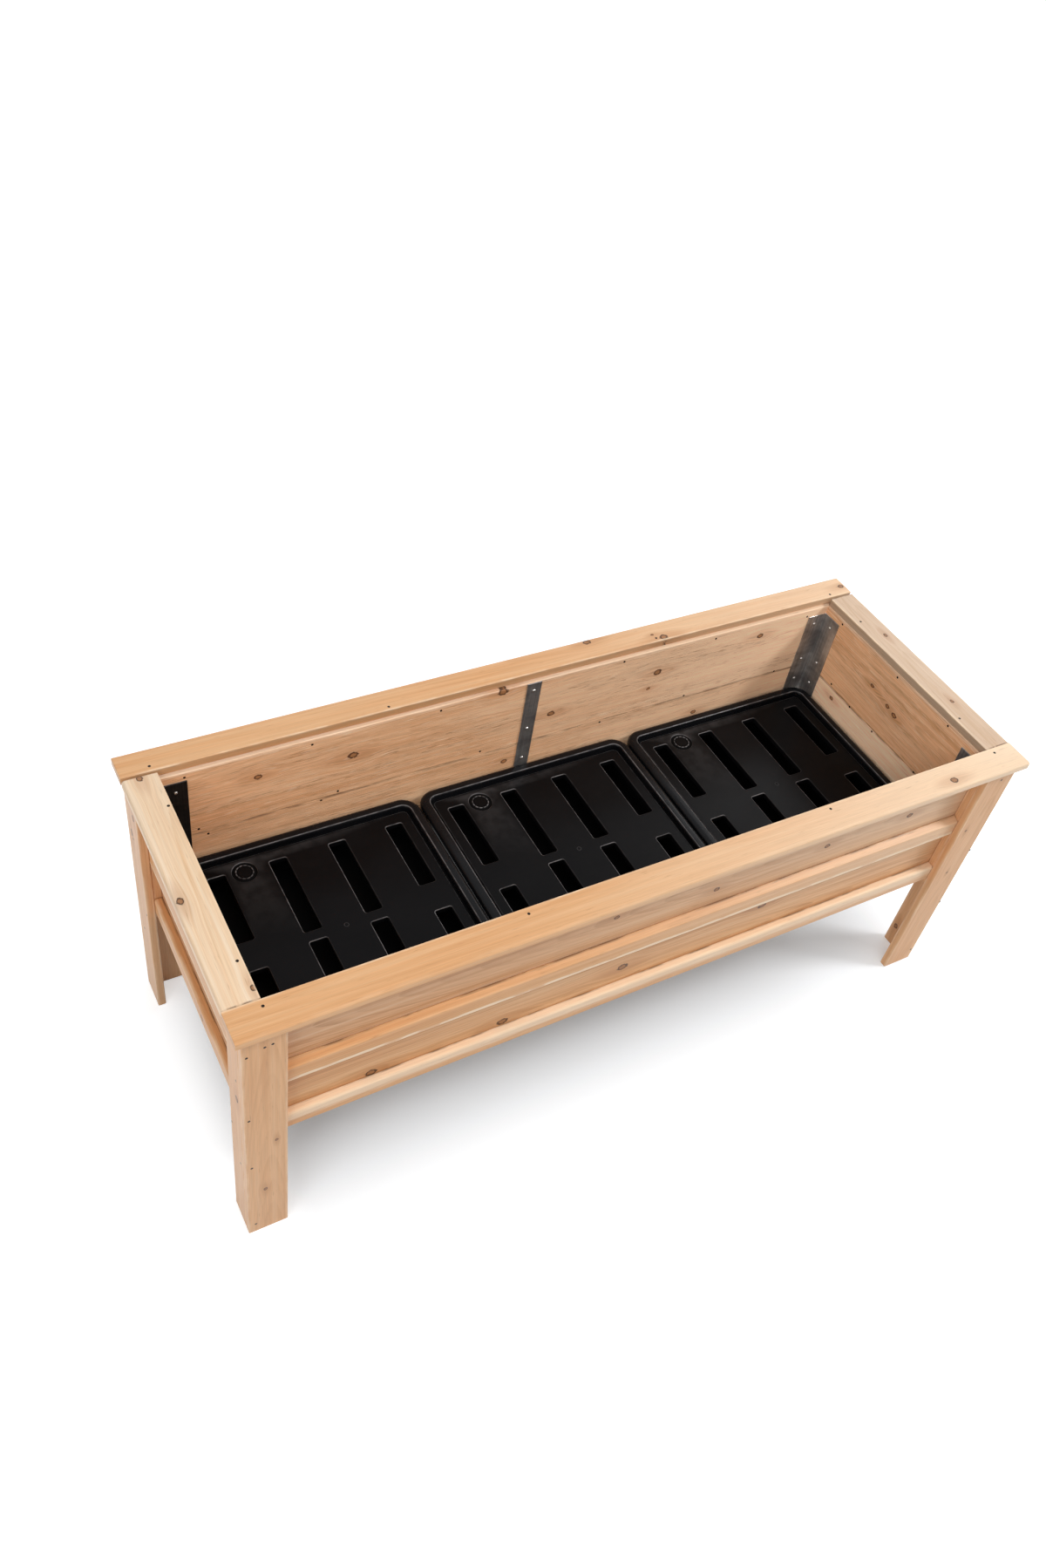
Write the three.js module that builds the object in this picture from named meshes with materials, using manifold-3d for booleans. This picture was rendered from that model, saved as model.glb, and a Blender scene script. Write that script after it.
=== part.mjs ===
// Elevated planter: a boarded cedar box on four L-shaped legs, with three lift-out watering trays.
// Millimetres, +Z up, +X along the box, origin on the floor under the middle of the box.
import * as THREE from 'three';
import { mergeVertices } from 'three/addons/utils/BufferGeometryUtils.js';
import Module from 'manifold-3d';

const wasm = await Module();
wasm.setup();

// Overall size, over the caps
const LENGTH = 1905;
const WIDTH = 739;
const HEIGHT = 762;

// Caps
const CAP_THICKNESS = 20;
const CAP_OVERHANG = 14;
const CAP_INNER_SETBACK = 1;
const CAP_OUTER_RADIUS = 8;
const CAP_INNER_RADIUS = 1.5;
const CAP_LOWER_RADIUS = 3;

// Legs: a face board on the long side and a side board on the end
const LEG_THICKNESS = 19;
const LEG_FACE_WIDTH = 87;
const LEG_SIDE_WIDTH = 64;

// Frame of stiles and rails behind the legs
const FRAME_THICKNESS = 19;
const STILE_SETBACK = 3.5;
const STILE_DROP = 20;
const MID_RAIL_HEIGHT = 54;
const MID_RAIL_BELOW_JOINT = 28;
const MID_RAIL_SLOPE = 10;
const MID_RAIL_RADIUS = 6;
const BOTTOM_RAIL_HEIGHT = 44;
const BOTTOM_RAIL_RADIUS = 8;

// Walls: two boards, one above the other
const WALL_THICKNESS = 22;
const WALL_BOARD_HEIGHT = 194.5;

// Steel angles and straps on the inside
const STEEL_THICKNESS = 2.5;
const ANGLE_FLANGE = 57;
const ANGLE_DROP = 23;
const STRAP_WIDTH = 38;
const STRAP_DROP = 2;
const STEEL_ABOVE_FLOOR = 8;

// Floor: ledgers on the long walls, with slats across them
const LEDGER_HEIGHT = 38;
const LEDGER_THICKNESS = 19;
const LEDGER_LIFT = 1;
const LEDGER_END_CLEARANCE = 8;
const SLATS_PER_TRAY = 3;
const SLAT_WIDTH = 89;
const SLAT_THICKNESS = 19;
const SLAT_INSET = 11;
const SLAT_CLEARANCE = 1;

// Trays: their length and width come from the bed and these clearances
const TRAY_NAMES = ['left', 'centre', 'right'];
const TRAY_CLEARANCE = 3;
const TRAY_GAP = 3;
const TRAY_HEIGHT = 71;
const TRAY_CORNER_RADIUS = 45;
const TRAY_INNER_CORNER = 6;
const PAN_WALL = 3;
const PAN_FOOT_INSET = 44;
const PAN_RIB_END_GAP = 40;
const RIM_WIDTH = 26;
const RIM_SKIRT = 20;
const RIM_OUTER_RADIUS = 12;
const RIM_INNER_RADIUS = 6;
const LEDGE_WIDTH = 12;

// Deck: a plate with a raised middle, slots with collars under them, and a round knock-out
const DECK_THICKNESS = 3.5;
const DECK_BELOW_RIM = 15;
const DECK_CLEARANCE = 0.5;
const DECK_BORDER = 8;
const DECK_STEP = 3;
const DECK_STEP_SLOPE = 1.5;
const SLOT_COLUMNS = 4;
const SLOT_WIDTH = 40;
const SLOT_CORNER_RADIUS = 7;
const SLOT_SIDE_MARGIN = 25;
const SLOT_END_MARGIN = 30;
const SLOT_OUTER_ROW_GAP = 78;
const SLOT_INNER_ROW_GAP = 28;
const COLLAR_WALL = 2.5;
const COLLAR_DEPTH = 10;
const KNOCKOUT_DIAMETER = 62;
const KNOCKOUT_GROOVE_WIDTH = 2.5;
const KNOCKOUT_GROOVE_DEPTH = 1.2;
const KNOCKOUT_FORWARD = 8;
const KNOCKOUT_SIDEWAYS = 8;

// Facets on round stretches
const ARC_STEPS = 4;
const CORNER_STEPS = 5;
const CIRCLE_STEPS = 32;

const CAP_WOOD = { color: 0xd9a066, roughness: 0.6, metalness: 0 };
const FRAME_WOOD = { color: 0xc99663, roughness: 0.65, metalness: 0 };
const WALL_WOOD = { color: 0xb98a5c, roughness: 0.85, metalness: 0 };
const FLOOR_WOOD = { color: 0xbf9a70, roughness: 0.8, metalness: 0 };
const STEEL = { color: 0x5e6063, roughness: 0.45, metalness: 1 };
const BLACK_PLASTIC = { color: 0x1c1d1f, roughness: 0.45, metalness: 0, flatShading: true };

// Faces of the layers, as distances from the middle of the box, from the cap's edge in to the bed
function layers(capEdge) {
  const leg = capEdge - CAP_OVERHANG;
  const frame = leg - LEG_THICKNESS;
  const wall = frame - FRAME_THICKNESS;
  const bed = wall - WALL_THICKNESS;
  return { capEdge, leg, frame, wall, bed, capInner: bed + CAP_INNER_SETBACK, tray: bed - STEEL_THICKNESS };
}

const X = layers(LENGTH / 2);
const Y = layers(WIDTH / 2);

// Levels, from the caps down to the foot of the wall and up again to the trays
const CAP_BOTTOM = HEIGHT - CAP_THICKNESS;
const WALL_JOINT = CAP_BOTTOM - WALL_BOARD_HEIGHT;
const WALL_BOTTOM = WALL_JOINT - WALL_BOARD_HEIGHT;
const LEDGER_BOTTOM = WALL_BOTTOM + LEDGER_LIFT;
const SLAT_BOTTOM = LEDGER_BOTTOM + LEDGER_HEIGHT;
const TRAY_BOTTOM = SLAT_BOTTOM + SLAT_THICKNESS;
const STEEL_BOTTOM = TRAY_BOTTOM + STEEL_ABOVE_FLOOR;

const TRAY_COUNT = TRAY_NAMES.length;
const TRAY_LENGTH = (2 * (X.tray - TRAY_CLEARANCE) - (TRAY_COUNT - 1) * TRAY_GAP) / TRAY_COUNT;
const TRAY_WIDTH = 2 * (Y.tray - TRAY_CLEARANCE);

// The four sides, each drawn facing -Y and turned into place. ends names the board ends from -X to +X.
const LONG_SIDE = {
  out: Y,
  capHalf: LENGTH / 2,
  legOuter: X.leg,
  legWidth: LEG_FACE_WIDTH,
  legKind: 'face',
  stileOuter: X.frame,
  wallHalf: X.wall,
};
const END_SIDE = {
  out: X,
  capHalf: Y.capInner,
  legOuter: Y.frame,
  legWidth: LEG_SIDE_WIDTH,
  legKind: 'side',
  stileOuter: Y.wall,
  wallHalf: Y.bed,
};
const SIDES = [
  { ...LONG_SIDE, name: 'front', turn: 0, ends: ['left', 'right'] },
  { ...END_SIDE, name: 'right', turn: Math.PI / 2, ends: ['front', 'back'] },
  { ...LONG_SIDE, name: 'back', turn: Math.PI, ends: ['right', 'left'] },
  { ...END_SIDE, name: 'left', turn: -Math.PI / 2, ends: ['back', 'front'] },
];

function addMesh(group, name, geometry, finish, x, y, z) {
  const mesh = new THREE.Mesh(geometry, new THREE.MeshStandardMaterial(finish));
  mesh.name = name;
  mesh.position.set(x, y, z);
  group.add(mesh);
}

// A square-edged board between two corners
function addBoard(group, name, finish, [x0, y0, z0], [x1, y1, z1]) {
  const geometry = new THREE.BoxGeometry(x1 - x0, y1 - y0, z1 - z0);
  addMesh(group, name, geometry, finish, (x0 + x1) / 2, (y0 + y1) / 2, (z0 + z1) / 2);
}

// A moulded board along X, from a section drawn with its own x outward (-Y) and its y up
function mouldedBoard(section, length) {
  const geometry = new THREE.ExtrudeGeometry(section, {
    depth: length,
    bevelEnabled: false,
    curveSegments: ARC_STEPS,
  });
  geometry.translate(0, 0, -length / 2);
  const outward = new THREE.Vector3(0, -1, 0);
  const up = new THREE.Vector3(0, 0, 1);
  const along = new THREE.Vector3(-1, 0, 0);
  return geometry.applyMatrix4(new THREE.Matrix4().makeBasis(outward, up, along));
}

// A rectangle from the origin, with a radius for each corner:
// lower inner, lower outer, upper outer and upper inner
function roundedSection(width, height, [r0, r1, r2, r3]) {
  const section = new THREE.Shape();
  section.moveTo(r0, 0);
  section.lineTo(width - r1, 0);
  if (r1 > 0) section.absarc(width - r1, r1, r1, -Math.PI / 2, 0);
  section.lineTo(width, height - r2);
  if (r2 > 0) section.absarc(width - r2, height - r2, r2, 0, Math.PI / 2);
  section.lineTo(r3, height);
  if (r3 > 0) section.absarc(r3, height - r3, r3, Math.PI / 2, Math.PI);
  section.lineTo(0, r0);
  if (r0 > 0) section.absarc(r0, r0, r0, Math.PI, 1.5 * Math.PI);
  return section;
}

// A section whose top slopes down outward, with a radius on its lower outer edge
function slopedSection(width, height, slope, radius) {
  const section = new THREE.Shape();
  section.moveTo(0, 0);
  section.lineTo(width - radius, 0);
  section.absarc(width - radius, radius, radius, -Math.PI / 2, 0);
  section.lineTo(width, height - slope);
  section.lineTo(0, height);
  return section;
}

function addCap(group, side) {
  const { out, capHalf, name } = side;
  const radii = [CAP_LOWER_RADIUS, CAP_LOWER_RADIUS, CAP_OUTER_RADIUS, CAP_INNER_RADIUS];
  const section = roundedSection(out.capEdge - out.capInner, CAP_THICKNESS, radii);
  addMesh(group, `cap_${name}`, mouldedBoard(section, 2 * capHalf), CAP_WOOD, 0, -out.capInner, CAP_BOTTOM);
}

function addWall(group, side) {
  const { out, wallHalf, name } = side;
  const boards = { upper: WALL_JOINT, lower: WALL_BOTTOM };
  for (const [level, z] of Object.entries(boards)) {
    const low = [-wallHalf, -out.wall, z];
    const high = [wallHalf, -out.bed, z + WALL_BOARD_HEIGHT];
    addBoard(group, `wall_${name}_${level}`, WALL_WOOD, low, high);
  }
}

function addFrame(group, side) {
  const { out, legOuter, legWidth, stileOuter, ends, name } = side;
  const stileInner = legOuter - legWidth + STILE_SETBACK;
  ends.forEach((end, index) => {
    const mirror = index === 0 ? -1 : 1;
    const inner = mirror * stileInner;
    const outer = mirror * stileOuter;
    const low = [Math.min(inner, outer), -out.frame, WALL_BOTTOM - STILE_DROP];
    const high = [Math.max(inner, outer), -out.wall, CAP_BOTTOM];
    addBoard(group, `stile_${name}_${end}`, FRAME_WOOD, low, high);
  });

  const mid = slopedSection(FRAME_THICKNESS, MID_RAIL_HEIGHT, MID_RAIL_SLOPE, MID_RAIL_RADIUS);
  const midBottom = WALL_JOINT - MID_RAIL_BELOW_JOINT;
  const bottom = roundedSection(FRAME_THICKNESS, BOTTOM_RAIL_HEIGHT, [0, 0, BOTTOM_RAIL_RADIUS, 0]);
  const rails = [['mid', mid, midBottom], ['bottom', bottom, WALL_BOTTOM]];
  for (const [level, section, z] of rails) {
    const geometry = mouldedBoard(section, 2 * stileInner);
    addMesh(group, `rail_${name}_${level}`, geometry, FRAME_WOOD, 0, -out.wall, z);
  }
}

function addLegBoards(group, side) {
  const { out, legOuter, legWidth, legKind, ends, name } = side;
  ends.forEach((end, index) => {
    const left = index === 0 ? -legOuter : legOuter - legWidth;
    const corner = legKind === 'face' ? `${name}_${end}` : `${end}_${name}`;
    const low = [left, -out.leg, 0];
    const high = [left + legWidth, -out.frame, CAP_BOTTOM];
    addBoard(group, `leg_${corner}_${legKind}`, FRAME_WOOD, low, high);
  });
}

// A long side also carries a steel strap and the ledger of the floor
function addLongSideFittings(group, side) {
  const { out, name } = side;
  const strapLow = [-STRAP_WIDTH / 2, -out.bed, STEEL_BOTTOM];
  const strapHigh = [STRAP_WIDTH / 2, -out.tray, CAP_BOTTOM - STRAP_DROP];
  addBoard(group, `strap_${name}`, STEEL, strapLow, strapHigh);

  const ledgerHalf = X.bed - LEDGER_END_CLEARANCE;
  const ledgerLow = [-ledgerHalf, -out.bed, LEDGER_BOTTOM];
  const ledgerHigh = [ledgerHalf, -out.bed + LEDGER_THICKNESS, SLAT_BOTTOM];
  addBoard(group, `ledger_${name}`, FLOOR_WOOD, ledgerLow, ledgerHigh);
}

// Steel angles, each drawn with its heel at the origin and its flanges along +X and +Y
function addCornerAngles(group) {
  const section = new THREE.Shape([
    new THREE.Vector2(0, 0),
    new THREE.Vector2(ANGLE_FLANGE, 0),
    new THREE.Vector2(ANGLE_FLANGE, STEEL_THICKNESS),
    new THREE.Vector2(STEEL_THICKNESS, STEEL_THICKNESS),
    new THREE.Vector2(STEEL_THICKNESS, ANGLE_FLANGE),
    new THREE.Vector2(0, ANGLE_FLANGE),
  ]);
  const depth = CAP_BOTTOM - ANGLE_DROP - STEEL_BOTTOM;
  const corners = [
    ['front_left', -X.bed, -Y.bed],
    ['front_right', X.bed, -Y.bed],
    ['back_right', X.bed, Y.bed],
    ['back_left', -X.bed, Y.bed],
  ];
  corners.forEach(([corner, x, y], quarterTurns) => {
    const geometry = new THREE.ExtrudeGeometry(section, { depth, bevelEnabled: false });
    geometry.rotateZ((quarterTurns * Math.PI) / 2);
    addMesh(group, `angle_${corner}`, geometry, STEEL, x, y, STEEL_BOTTOM);
  });
}

function trayCentre(index) {
  return (index - (TRAY_COUNT - 1) / 2) * (TRAY_LENGTH + TRAY_GAP);
}

function addFloorSlats(group) {
  const half = Y.tray - SLAT_CLEARANCE;
  const spread = TRAY_LENGTH - 2 * (PAN_FOOT_INSET + SLAT_INSET) - SLAT_WIDTH;
  for (let tray = 0; tray < TRAY_COUNT; tray += 1) {
    for (let slat = 0; slat < SLATS_PER_TRAY; slat += 1) {
      const left = trayCentre(tray) - spread / 2 + (spread * slat) / (SLATS_PER_TRAY - 1) - SLAT_WIDTH / 2;
      const number = tray * SLATS_PER_TRAY + slat + 1;
      const low = [left, -half, SLAT_BOTTOM];
      const high = [left + SLAT_WIDTH, half, TRAY_BOTTOM];
      addBoard(group, `floor_slat_${number}`, FLOOR_WOOD, low, high);
    }
  }
}

// Points of a quarter circle, as inset from the tray's edge and height
function rimArc(inset, z, radius, fromDegrees, toDegrees) {
  const points = [];
  for (let step = 0; step <= ARC_STEPS; step += 1) {
    const angle = THREE.MathUtils.degToRad(fromDegrees + ((toDegrees - fromDegrees) * step) / ARC_STEPS);
    points.push([inset - radius * Math.cos(angle), z + radius * Math.sin(angle)]);
  }
  return points;
}

// A tray outline, counter-clockwise from above, drawn in from the tray's edge by an inset
function trayOutline(inset, z) {
  const radius = Math.max(TRAY_CORNER_RADIUS - inset, TRAY_INNER_CORNER);
  const cornerX = TRAY_LENGTH / 2 - inset - radius;
  const cornerY = TRAY_WIDTH / 2 - inset - radius;
  const corners = [[1, 1], [-1, 1], [-1, -1], [1, -1]];
  return corners.flatMap(([signX, signY], corner) => {
    const arc = [];
    for (let step = 0; step <= CORNER_STEPS; step += 1) {
      const angle = ((corner + step / CORNER_STEPS) * Math.PI) / 2;
      const x = signX * cornerX + radius * Math.cos(angle);
      const y = signY * cornerY + radius * Math.sin(angle);
      arc.push([x, y, z]);
    }
    return arc;
  });
}

// A closed body from a section of [inset, z] points, from the middle of its underside out and up to its top
function sweptAroundTray(section) {
  const outlines = section.map(([inset, z]) => trayOutline(inset, z));
  const count = outlines[0].length;
  const underside = 0;
  const top = 1;
  const points = [[0, 0, section[0][1]], [0, 0, section.at(-1)[1]], ...outlines.flat()];
  const vertex = (outline, place) => 2 + outline * count + (place % count);
  const triangles = [];
  for (let place = 0; place < count; place += 1) {
    triangles.push(underside, vertex(0, place + 1), vertex(0, place));
    for (let outline = 0; outline + 1 < outlines.length; outline += 1) {
      const a = vertex(outline, place);
      const b = vertex(outline, place + 1);
      const c = vertex(outline + 1, place + 1);
      const d = vertex(outline + 1, place);
      triangles.push(a, b, c, a, c, d);
    }
    triangles.push(top, vertex(outlines.length - 1, place), vertex(outlines.length - 1, place + 1));
  }
  const geometry = new THREE.BufferGeometry();
  geometry.setAttribute('position', new THREE.Float32BufferAttribute(points.flat(), 3));
  geometry.setIndex(triangles);
  return geometry;
}

function toSolid(geometry) {
  const bare = geometry.clone();
  bare.deleteAttribute('normal');
  bare.deleteAttribute('uv');
  const merged = mergeVertices(bare);
  return new wasm.Manifold(new wasm.Mesh({
    numProp: 3,
    vertProperties: new Float32Array(merged.attributes.position.array),
    triVerts: new Uint32Array(merged.index.array),
  }));
}

function toGeometry(solid) {
  const { vertProperties, triVerts } = solid.getMesh();
  const geometry = new THREE.BufferGeometry();
  geometry.setAttribute('position', new THREE.BufferAttribute(vertProperties, 3));
  geometry.setIndex(new THREE.BufferAttribute(triVerts, 1));
  return geometry;
}

// Levels inside a tray, up from its foot
const LEDGE_LEVEL = TRAY_HEIGHT - DECK_BELOW_RIM - DECK_THICKNESS;
const DECK_UNDERSIDE = LEDGE_LEVEL + DECK_STEP;
const DECK_TOP = DECK_UNDERSIDE + DECK_THICKNESS;
const LEDGE_INNER = RIM_WIDTH + LEDGE_WIDTH;

// Pan: the rolled rim is hollow under its crown, the ledge carries the deck and the rib props its middle
function panGeometry() {
  const skirtBottom = TRAY_HEIGHT - RIM_SKIRT;
  const outerCentre = [RIM_OUTER_RADIUS, TRAY_HEIGHT - RIM_OUTER_RADIUS];
  const innerCentre = [RIM_WIDTH - RIM_INNER_RADIUS, TRAY_HEIGHT - RIM_INNER_RADIUS];
  const ledgeUnderside = LEDGE_LEVEL - PAN_WALL;
  const shell = sweptAroundTray([
    [PAN_FOOT_INSET, 0],
    [LEDGE_INNER - PAN_WALL, ledgeUnderside],
    [RIM_WIDTH - PAN_WALL, ledgeUnderside],
    ...rimArc(...innerCentre, RIM_INNER_RADIUS - PAN_WALL, 180, 90),
    ...rimArc(...outerCentre, RIM_OUTER_RADIUS - PAN_WALL, 90, 0),
    [PAN_WALL, skirtBottom],
    [0, skirtBottom],
    ...rimArc(...outerCentre, RIM_OUTER_RADIUS, 0, 90),
    ...rimArc(...innerCentre, RIM_INNER_RADIUS, 90, 180),
    [RIM_WIDTH, LEDGE_LEVEL],
    [LEDGE_INNER, LEDGE_LEVEL],
    [PAN_FOOT_INSET + PAN_WALL, PAN_WALL],
  ]);
  const ribLength = TRAY_WIDTH - 2 * (PAN_FOOT_INSET + PAN_WALL + PAN_RIB_END_GAP);
  const ribFoot = PAN_WALL / 2;
  const rib = new THREE.BoxGeometry(PAN_WALL, ribLength, DECK_UNDERSIDE - ribFoot);
  rib.translate(0, 0, (DECK_UNDERSIDE + ribFoot) / 2);
  return toGeometry(toSolid(shell).add(toSolid(rib)));
}

// Slots of one deck: each column has one towards the back and one towards the front
function deckSlots() {
  const middleInset = RIM_WIDTH + DECK_BORDER;
  const reachX = TRAY_LENGTH / 2 - middleInset - SLOT_SIDE_MARGIN - SLOT_WIDTH / 2;
  const reachY = TRAY_WIDTH / 2 - middleInset - SLOT_END_MARGIN;
  const slots = [];
  for (let column = 0; column < SLOT_COLUMNS; column += 1) {
    const x = -reachX + (2 * reachX * column) / (SLOT_COLUMNS - 1);
    const isOuter = column === 0 || column === SLOT_COLUMNS - 1;
    const start = (isOuter ? SLOT_OUTER_ROW_GAP : SLOT_INNER_ROW_GAP) / 2;
    for (const row of [1, -1]) {
      slots.push({ x, y: (row * (start + reachY)) / 2, length: reachY - start, end: row * reachY });
    }
  }
  return slots;
}

// A slot-shaped prism, grown all round by an allowance, between two levels
function slotPrism({ x, y, length }, grow, bottom, top) {
  const width = SLOT_WIDTH + 2 * grow;
  const depth = length + 2 * grow;
  const section = roundedSection(width, depth, Array(4).fill(SLOT_CORNER_RADIUS + grow));
  const geometry = new THREE.ExtrudeGeometry(section, {
    depth: top - bottom,
    bevelEnabled: false,
    curveSegments: ARC_STEPS,
  });
  geometry.translate(x - width / 2, y - depth / 2, bottom);
  return toSolid(geometry);
}

// The ring of the knock-out, between the first two columns, nearer the first, and close to their back ends
function knockoutGroove(slots) {
  const [first, , second] = slots;
  const outer = KNOCKOUT_DIAMETER / 2;
  const inner = outer - KNOCKOUT_GROOVE_WIDTH;
  const bottom = DECK_TOP - KNOCKOUT_GROOVE_DEPTH;
  const top = DECK_TOP + KNOCKOUT_GROOVE_DEPTH;
  const section = [[inner, bottom], [outer, bottom], [outer, top], [inner, top], [inner, bottom]];
  const geometry = new THREE.LatheGeometry(section.map(([r, z]) => new THREE.Vector2(r, z)), CIRCLE_STEPS);
  geometry.rotateX(Math.PI / 2);
  const x = (first.x + second.x) / 2 - KNOCKOUT_SIDEWAYS;
  geometry.translate(x, first.end - KNOCKOUT_FORWARD, 0);
  return toSolid(geometry);
}

function deckGeometry() {
  const edge = RIM_WIDTH + DECK_CLEARANCE;
  const borderTop = LEDGE_LEVEL + DECK_THICKNESS;
  const stepInset = RIM_WIDTH + DECK_BORDER;
  const undersideInset = LEDGE_INNER - DECK_CLEARANCE;
  const plate = sweptAroundTray([
    [undersideInset, DECK_UNDERSIDE],
    [undersideInset, LEDGE_LEVEL],
    [edge, LEDGE_LEVEL],
    [edge, borderTop],
    [stepInset - DECK_STEP_SLOPE, borderTop],
    [stepInset, DECK_TOP],
  ]);
  const slots = deckSlots();
  const collarBottom = DECK_UNDERSIDE - COLLAR_DEPTH;
  const collarTop = DECK_UNDERSIDE + DECK_THICKNESS / 2;
  let deck = toSolid(plate);
  for (const slot of slots) {
    deck = deck.add(slotPrism(slot, COLLAR_WALL, collarBottom, collarTop));
  }
  for (const slot of slots) {
    deck = deck.subtract(slotPrism(slot, 0, collarBottom - DECK_THICKNESS, DECK_TOP + DECK_THICKNESS));
  }
  return toGeometry(deck.subtract(knockoutGroove(slots)));
}

const planter = new THREE.Group();

for (const side of SIDES) {
  const group = new THREE.Group();
  group.rotation.z = side.turn;
  addCap(group, side);
  addWall(group, side);
  addFrame(group, side);
  addLegBoards(group, side);
  if (side.legKind === 'face') addLongSideFittings(group, side);
  planter.add(group);
}

addCornerAngles(planter);
addFloorSlats(planter);

TRAY_NAMES.forEach((name, index) => {
  const tray = new THREE.Group();
  tray.position.set(trayCentre(index), 0, TRAY_BOTTOM);
  addMesh(tray, `tray_${name}_pan`, panGeometry(), BLACK_PLASTIC, 0, 0, 0);
  addMesh(tray, `tray_${name}_deck`, deckGeometry(), BLACK_PLASTIC, 0, 0, 0);
  planter.add(tray);
});

export default planter;
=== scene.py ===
import math
import random

import bmesh
import bpy
from mathutils import Matrix, Vector, noise


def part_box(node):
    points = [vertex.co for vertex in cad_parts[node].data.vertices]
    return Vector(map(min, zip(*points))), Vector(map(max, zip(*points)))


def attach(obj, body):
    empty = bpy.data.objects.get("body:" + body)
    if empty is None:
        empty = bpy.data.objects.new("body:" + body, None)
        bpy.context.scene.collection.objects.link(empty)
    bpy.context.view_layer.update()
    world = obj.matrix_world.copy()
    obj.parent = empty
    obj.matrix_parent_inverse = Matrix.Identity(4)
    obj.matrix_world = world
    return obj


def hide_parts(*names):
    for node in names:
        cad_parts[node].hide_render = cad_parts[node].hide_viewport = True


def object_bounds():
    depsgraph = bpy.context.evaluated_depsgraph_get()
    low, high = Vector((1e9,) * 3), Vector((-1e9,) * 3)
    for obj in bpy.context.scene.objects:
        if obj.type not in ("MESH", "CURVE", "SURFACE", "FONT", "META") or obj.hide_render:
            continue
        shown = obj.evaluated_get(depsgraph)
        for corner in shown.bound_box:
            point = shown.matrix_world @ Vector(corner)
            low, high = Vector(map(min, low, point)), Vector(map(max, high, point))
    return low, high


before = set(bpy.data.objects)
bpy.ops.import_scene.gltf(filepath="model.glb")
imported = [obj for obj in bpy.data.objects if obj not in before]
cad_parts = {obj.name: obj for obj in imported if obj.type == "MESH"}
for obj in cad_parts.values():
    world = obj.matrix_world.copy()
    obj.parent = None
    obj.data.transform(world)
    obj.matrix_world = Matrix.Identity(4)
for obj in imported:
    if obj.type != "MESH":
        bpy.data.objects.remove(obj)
cad_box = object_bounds()

# Elevated planter: cedar boards with eased edges, bent steel with nail heads, and three moulded trays.
# Metres, +Z up, +X along the box.
MM = 0.001
RIGHT, BACK, UP = Vector((1, 0, 0)), Vector((0, 1, 0)), Vector((0, 0, 1))

# Boards: radii of the edges, what marks them (worn pale, a painted highlight or the painted shade of a
# joint), and the band beside them that the marks reach
CRISP_EDGE = 0.8 * MM
SEAM_EDGE = 1.3 * MM
EASED_EDGE = 2.5 * MM
LEAST_RADIUS = 0.1 * MM
END_EASE = 1.2 * MM
END_EASE_STEPS = 3
END_BAND = 2.5 * MM
EDGE_BAND = 4 * MM
EDGE_BAND_SHARE = 0.3
EDGE_WANDER = 0.25 * MM
WANDER_RATE = 4
WANDER_PHASES = (0, 50)
STATION_PITCH = 160 * MM
ARC_STEPS = 5
CAP_RADII = (3 * MM, 3 * MM, 6 * MM, 1.5 * MM)
# A cap's inner top edge is marked past 1: worn pale with a painted highlight.
CAP_MARKS = (0, 0, 0.3, 1.6)
BACK_CAP_SETBACK = 7.5 * MM
WALL_TOP_RADIUS = 4 * MM
MID_RAIL_SLOPE = 10 * MM
RAIL_WALL_EDGE = 2 * MM
MID_RAIL_RADII = (CRISP_EDGE, RAIL_WALL_EDGE, 3 * MM, 4 * MM)
# A mid rail's joint with the wall is painted shade, and its lower front edge a painted highlight as wide as
# its band.
MID_RAIL_MARKS = (0, -1, 0.3, 8)
MID_RAIL_BANDS = (EDGE_BAND, EDGE_BAND, EDGE_BAND, 9 * MM)
BOTTOM_RAIL_RADII = (CRISP_EDGE, RAIL_WALL_EDGE, 6 * MM, 2 * MM)
# A bottom rail's joint with the wall is painted shade, and its top front edge worn pale with a painted
# highlight.
BOTTOM_RAIL_MARKS = (0, -1, 1.2, 0.3)
# From this far above its middle the front bottom rail is painted cream, a painted highlight on its lit top.
BOTTOM_RAIL_HIGHLIGHT_FROM = 4 * MM

# Angles in degrees past which the shading breaks at an edge
PIECE_BREAK = 40
HEAD_BREAK = 50
BOARD_BREAK = 60

# Steel and nails
STEEL_THICKNESS = 2.5 * MM
STEEL_EDGE = 0.7 * MM
BEND_RADIUS = 3 * MM
NAIL_FROM_CORNER = 31.5 * MM
STEEL_NAIL_LEVELS = (691 * MM, 572 * MM, 503 * MM, 447 * MM)
STRAP_NAIL_LEVELS = (716 * MM, 595 * MM, 496 * MM, 440 * MM)
STEEL_NAIL = (4.2 * MM, 2.6 * MM)
CAP_NAIL = (3.2 * MM, 0.35 * MM)
BRAD = (3 * MM, 0.2 * MM)
NAIL_SKIRT = 0.4 * MM
DOME_SEGMENTS = 14
DOME_RINGS = 4

# Trays: the sizes of their solids, their softened edges and the painted highlights on these
TRAY_NAMES = ("left", "centre", "right")
TRAY_CORNER_RADIUS = 45 * MM
TRAY_INNER_CORNER = 6 * MM
CORNER_STEPS = 12
PAN_WALL = 3 * MM
PAN_FOOT_INSET = 44 * MM
PAN_FOOT_RADIUS = 3 * MM
PAN_EDGE = 1 * MM
PAN_RIB_END_GAP = 40 * MM
RIB_EDGE = (0.4 * MM, 0.6 * MM)
RIM_WIDTH = 26 * MM
RIM_SKIRT = 20 * MM
RIM_OUTER_RADIUS = 12 * MM
RIM_INNER_RADIUS = 6 * MM
LEDGE_WIDTH = 12 * MM
RIM_STEPS = 8
SMALL_ARC_STEPS = 4
RIB_CORNER_STEPS = 2
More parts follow.
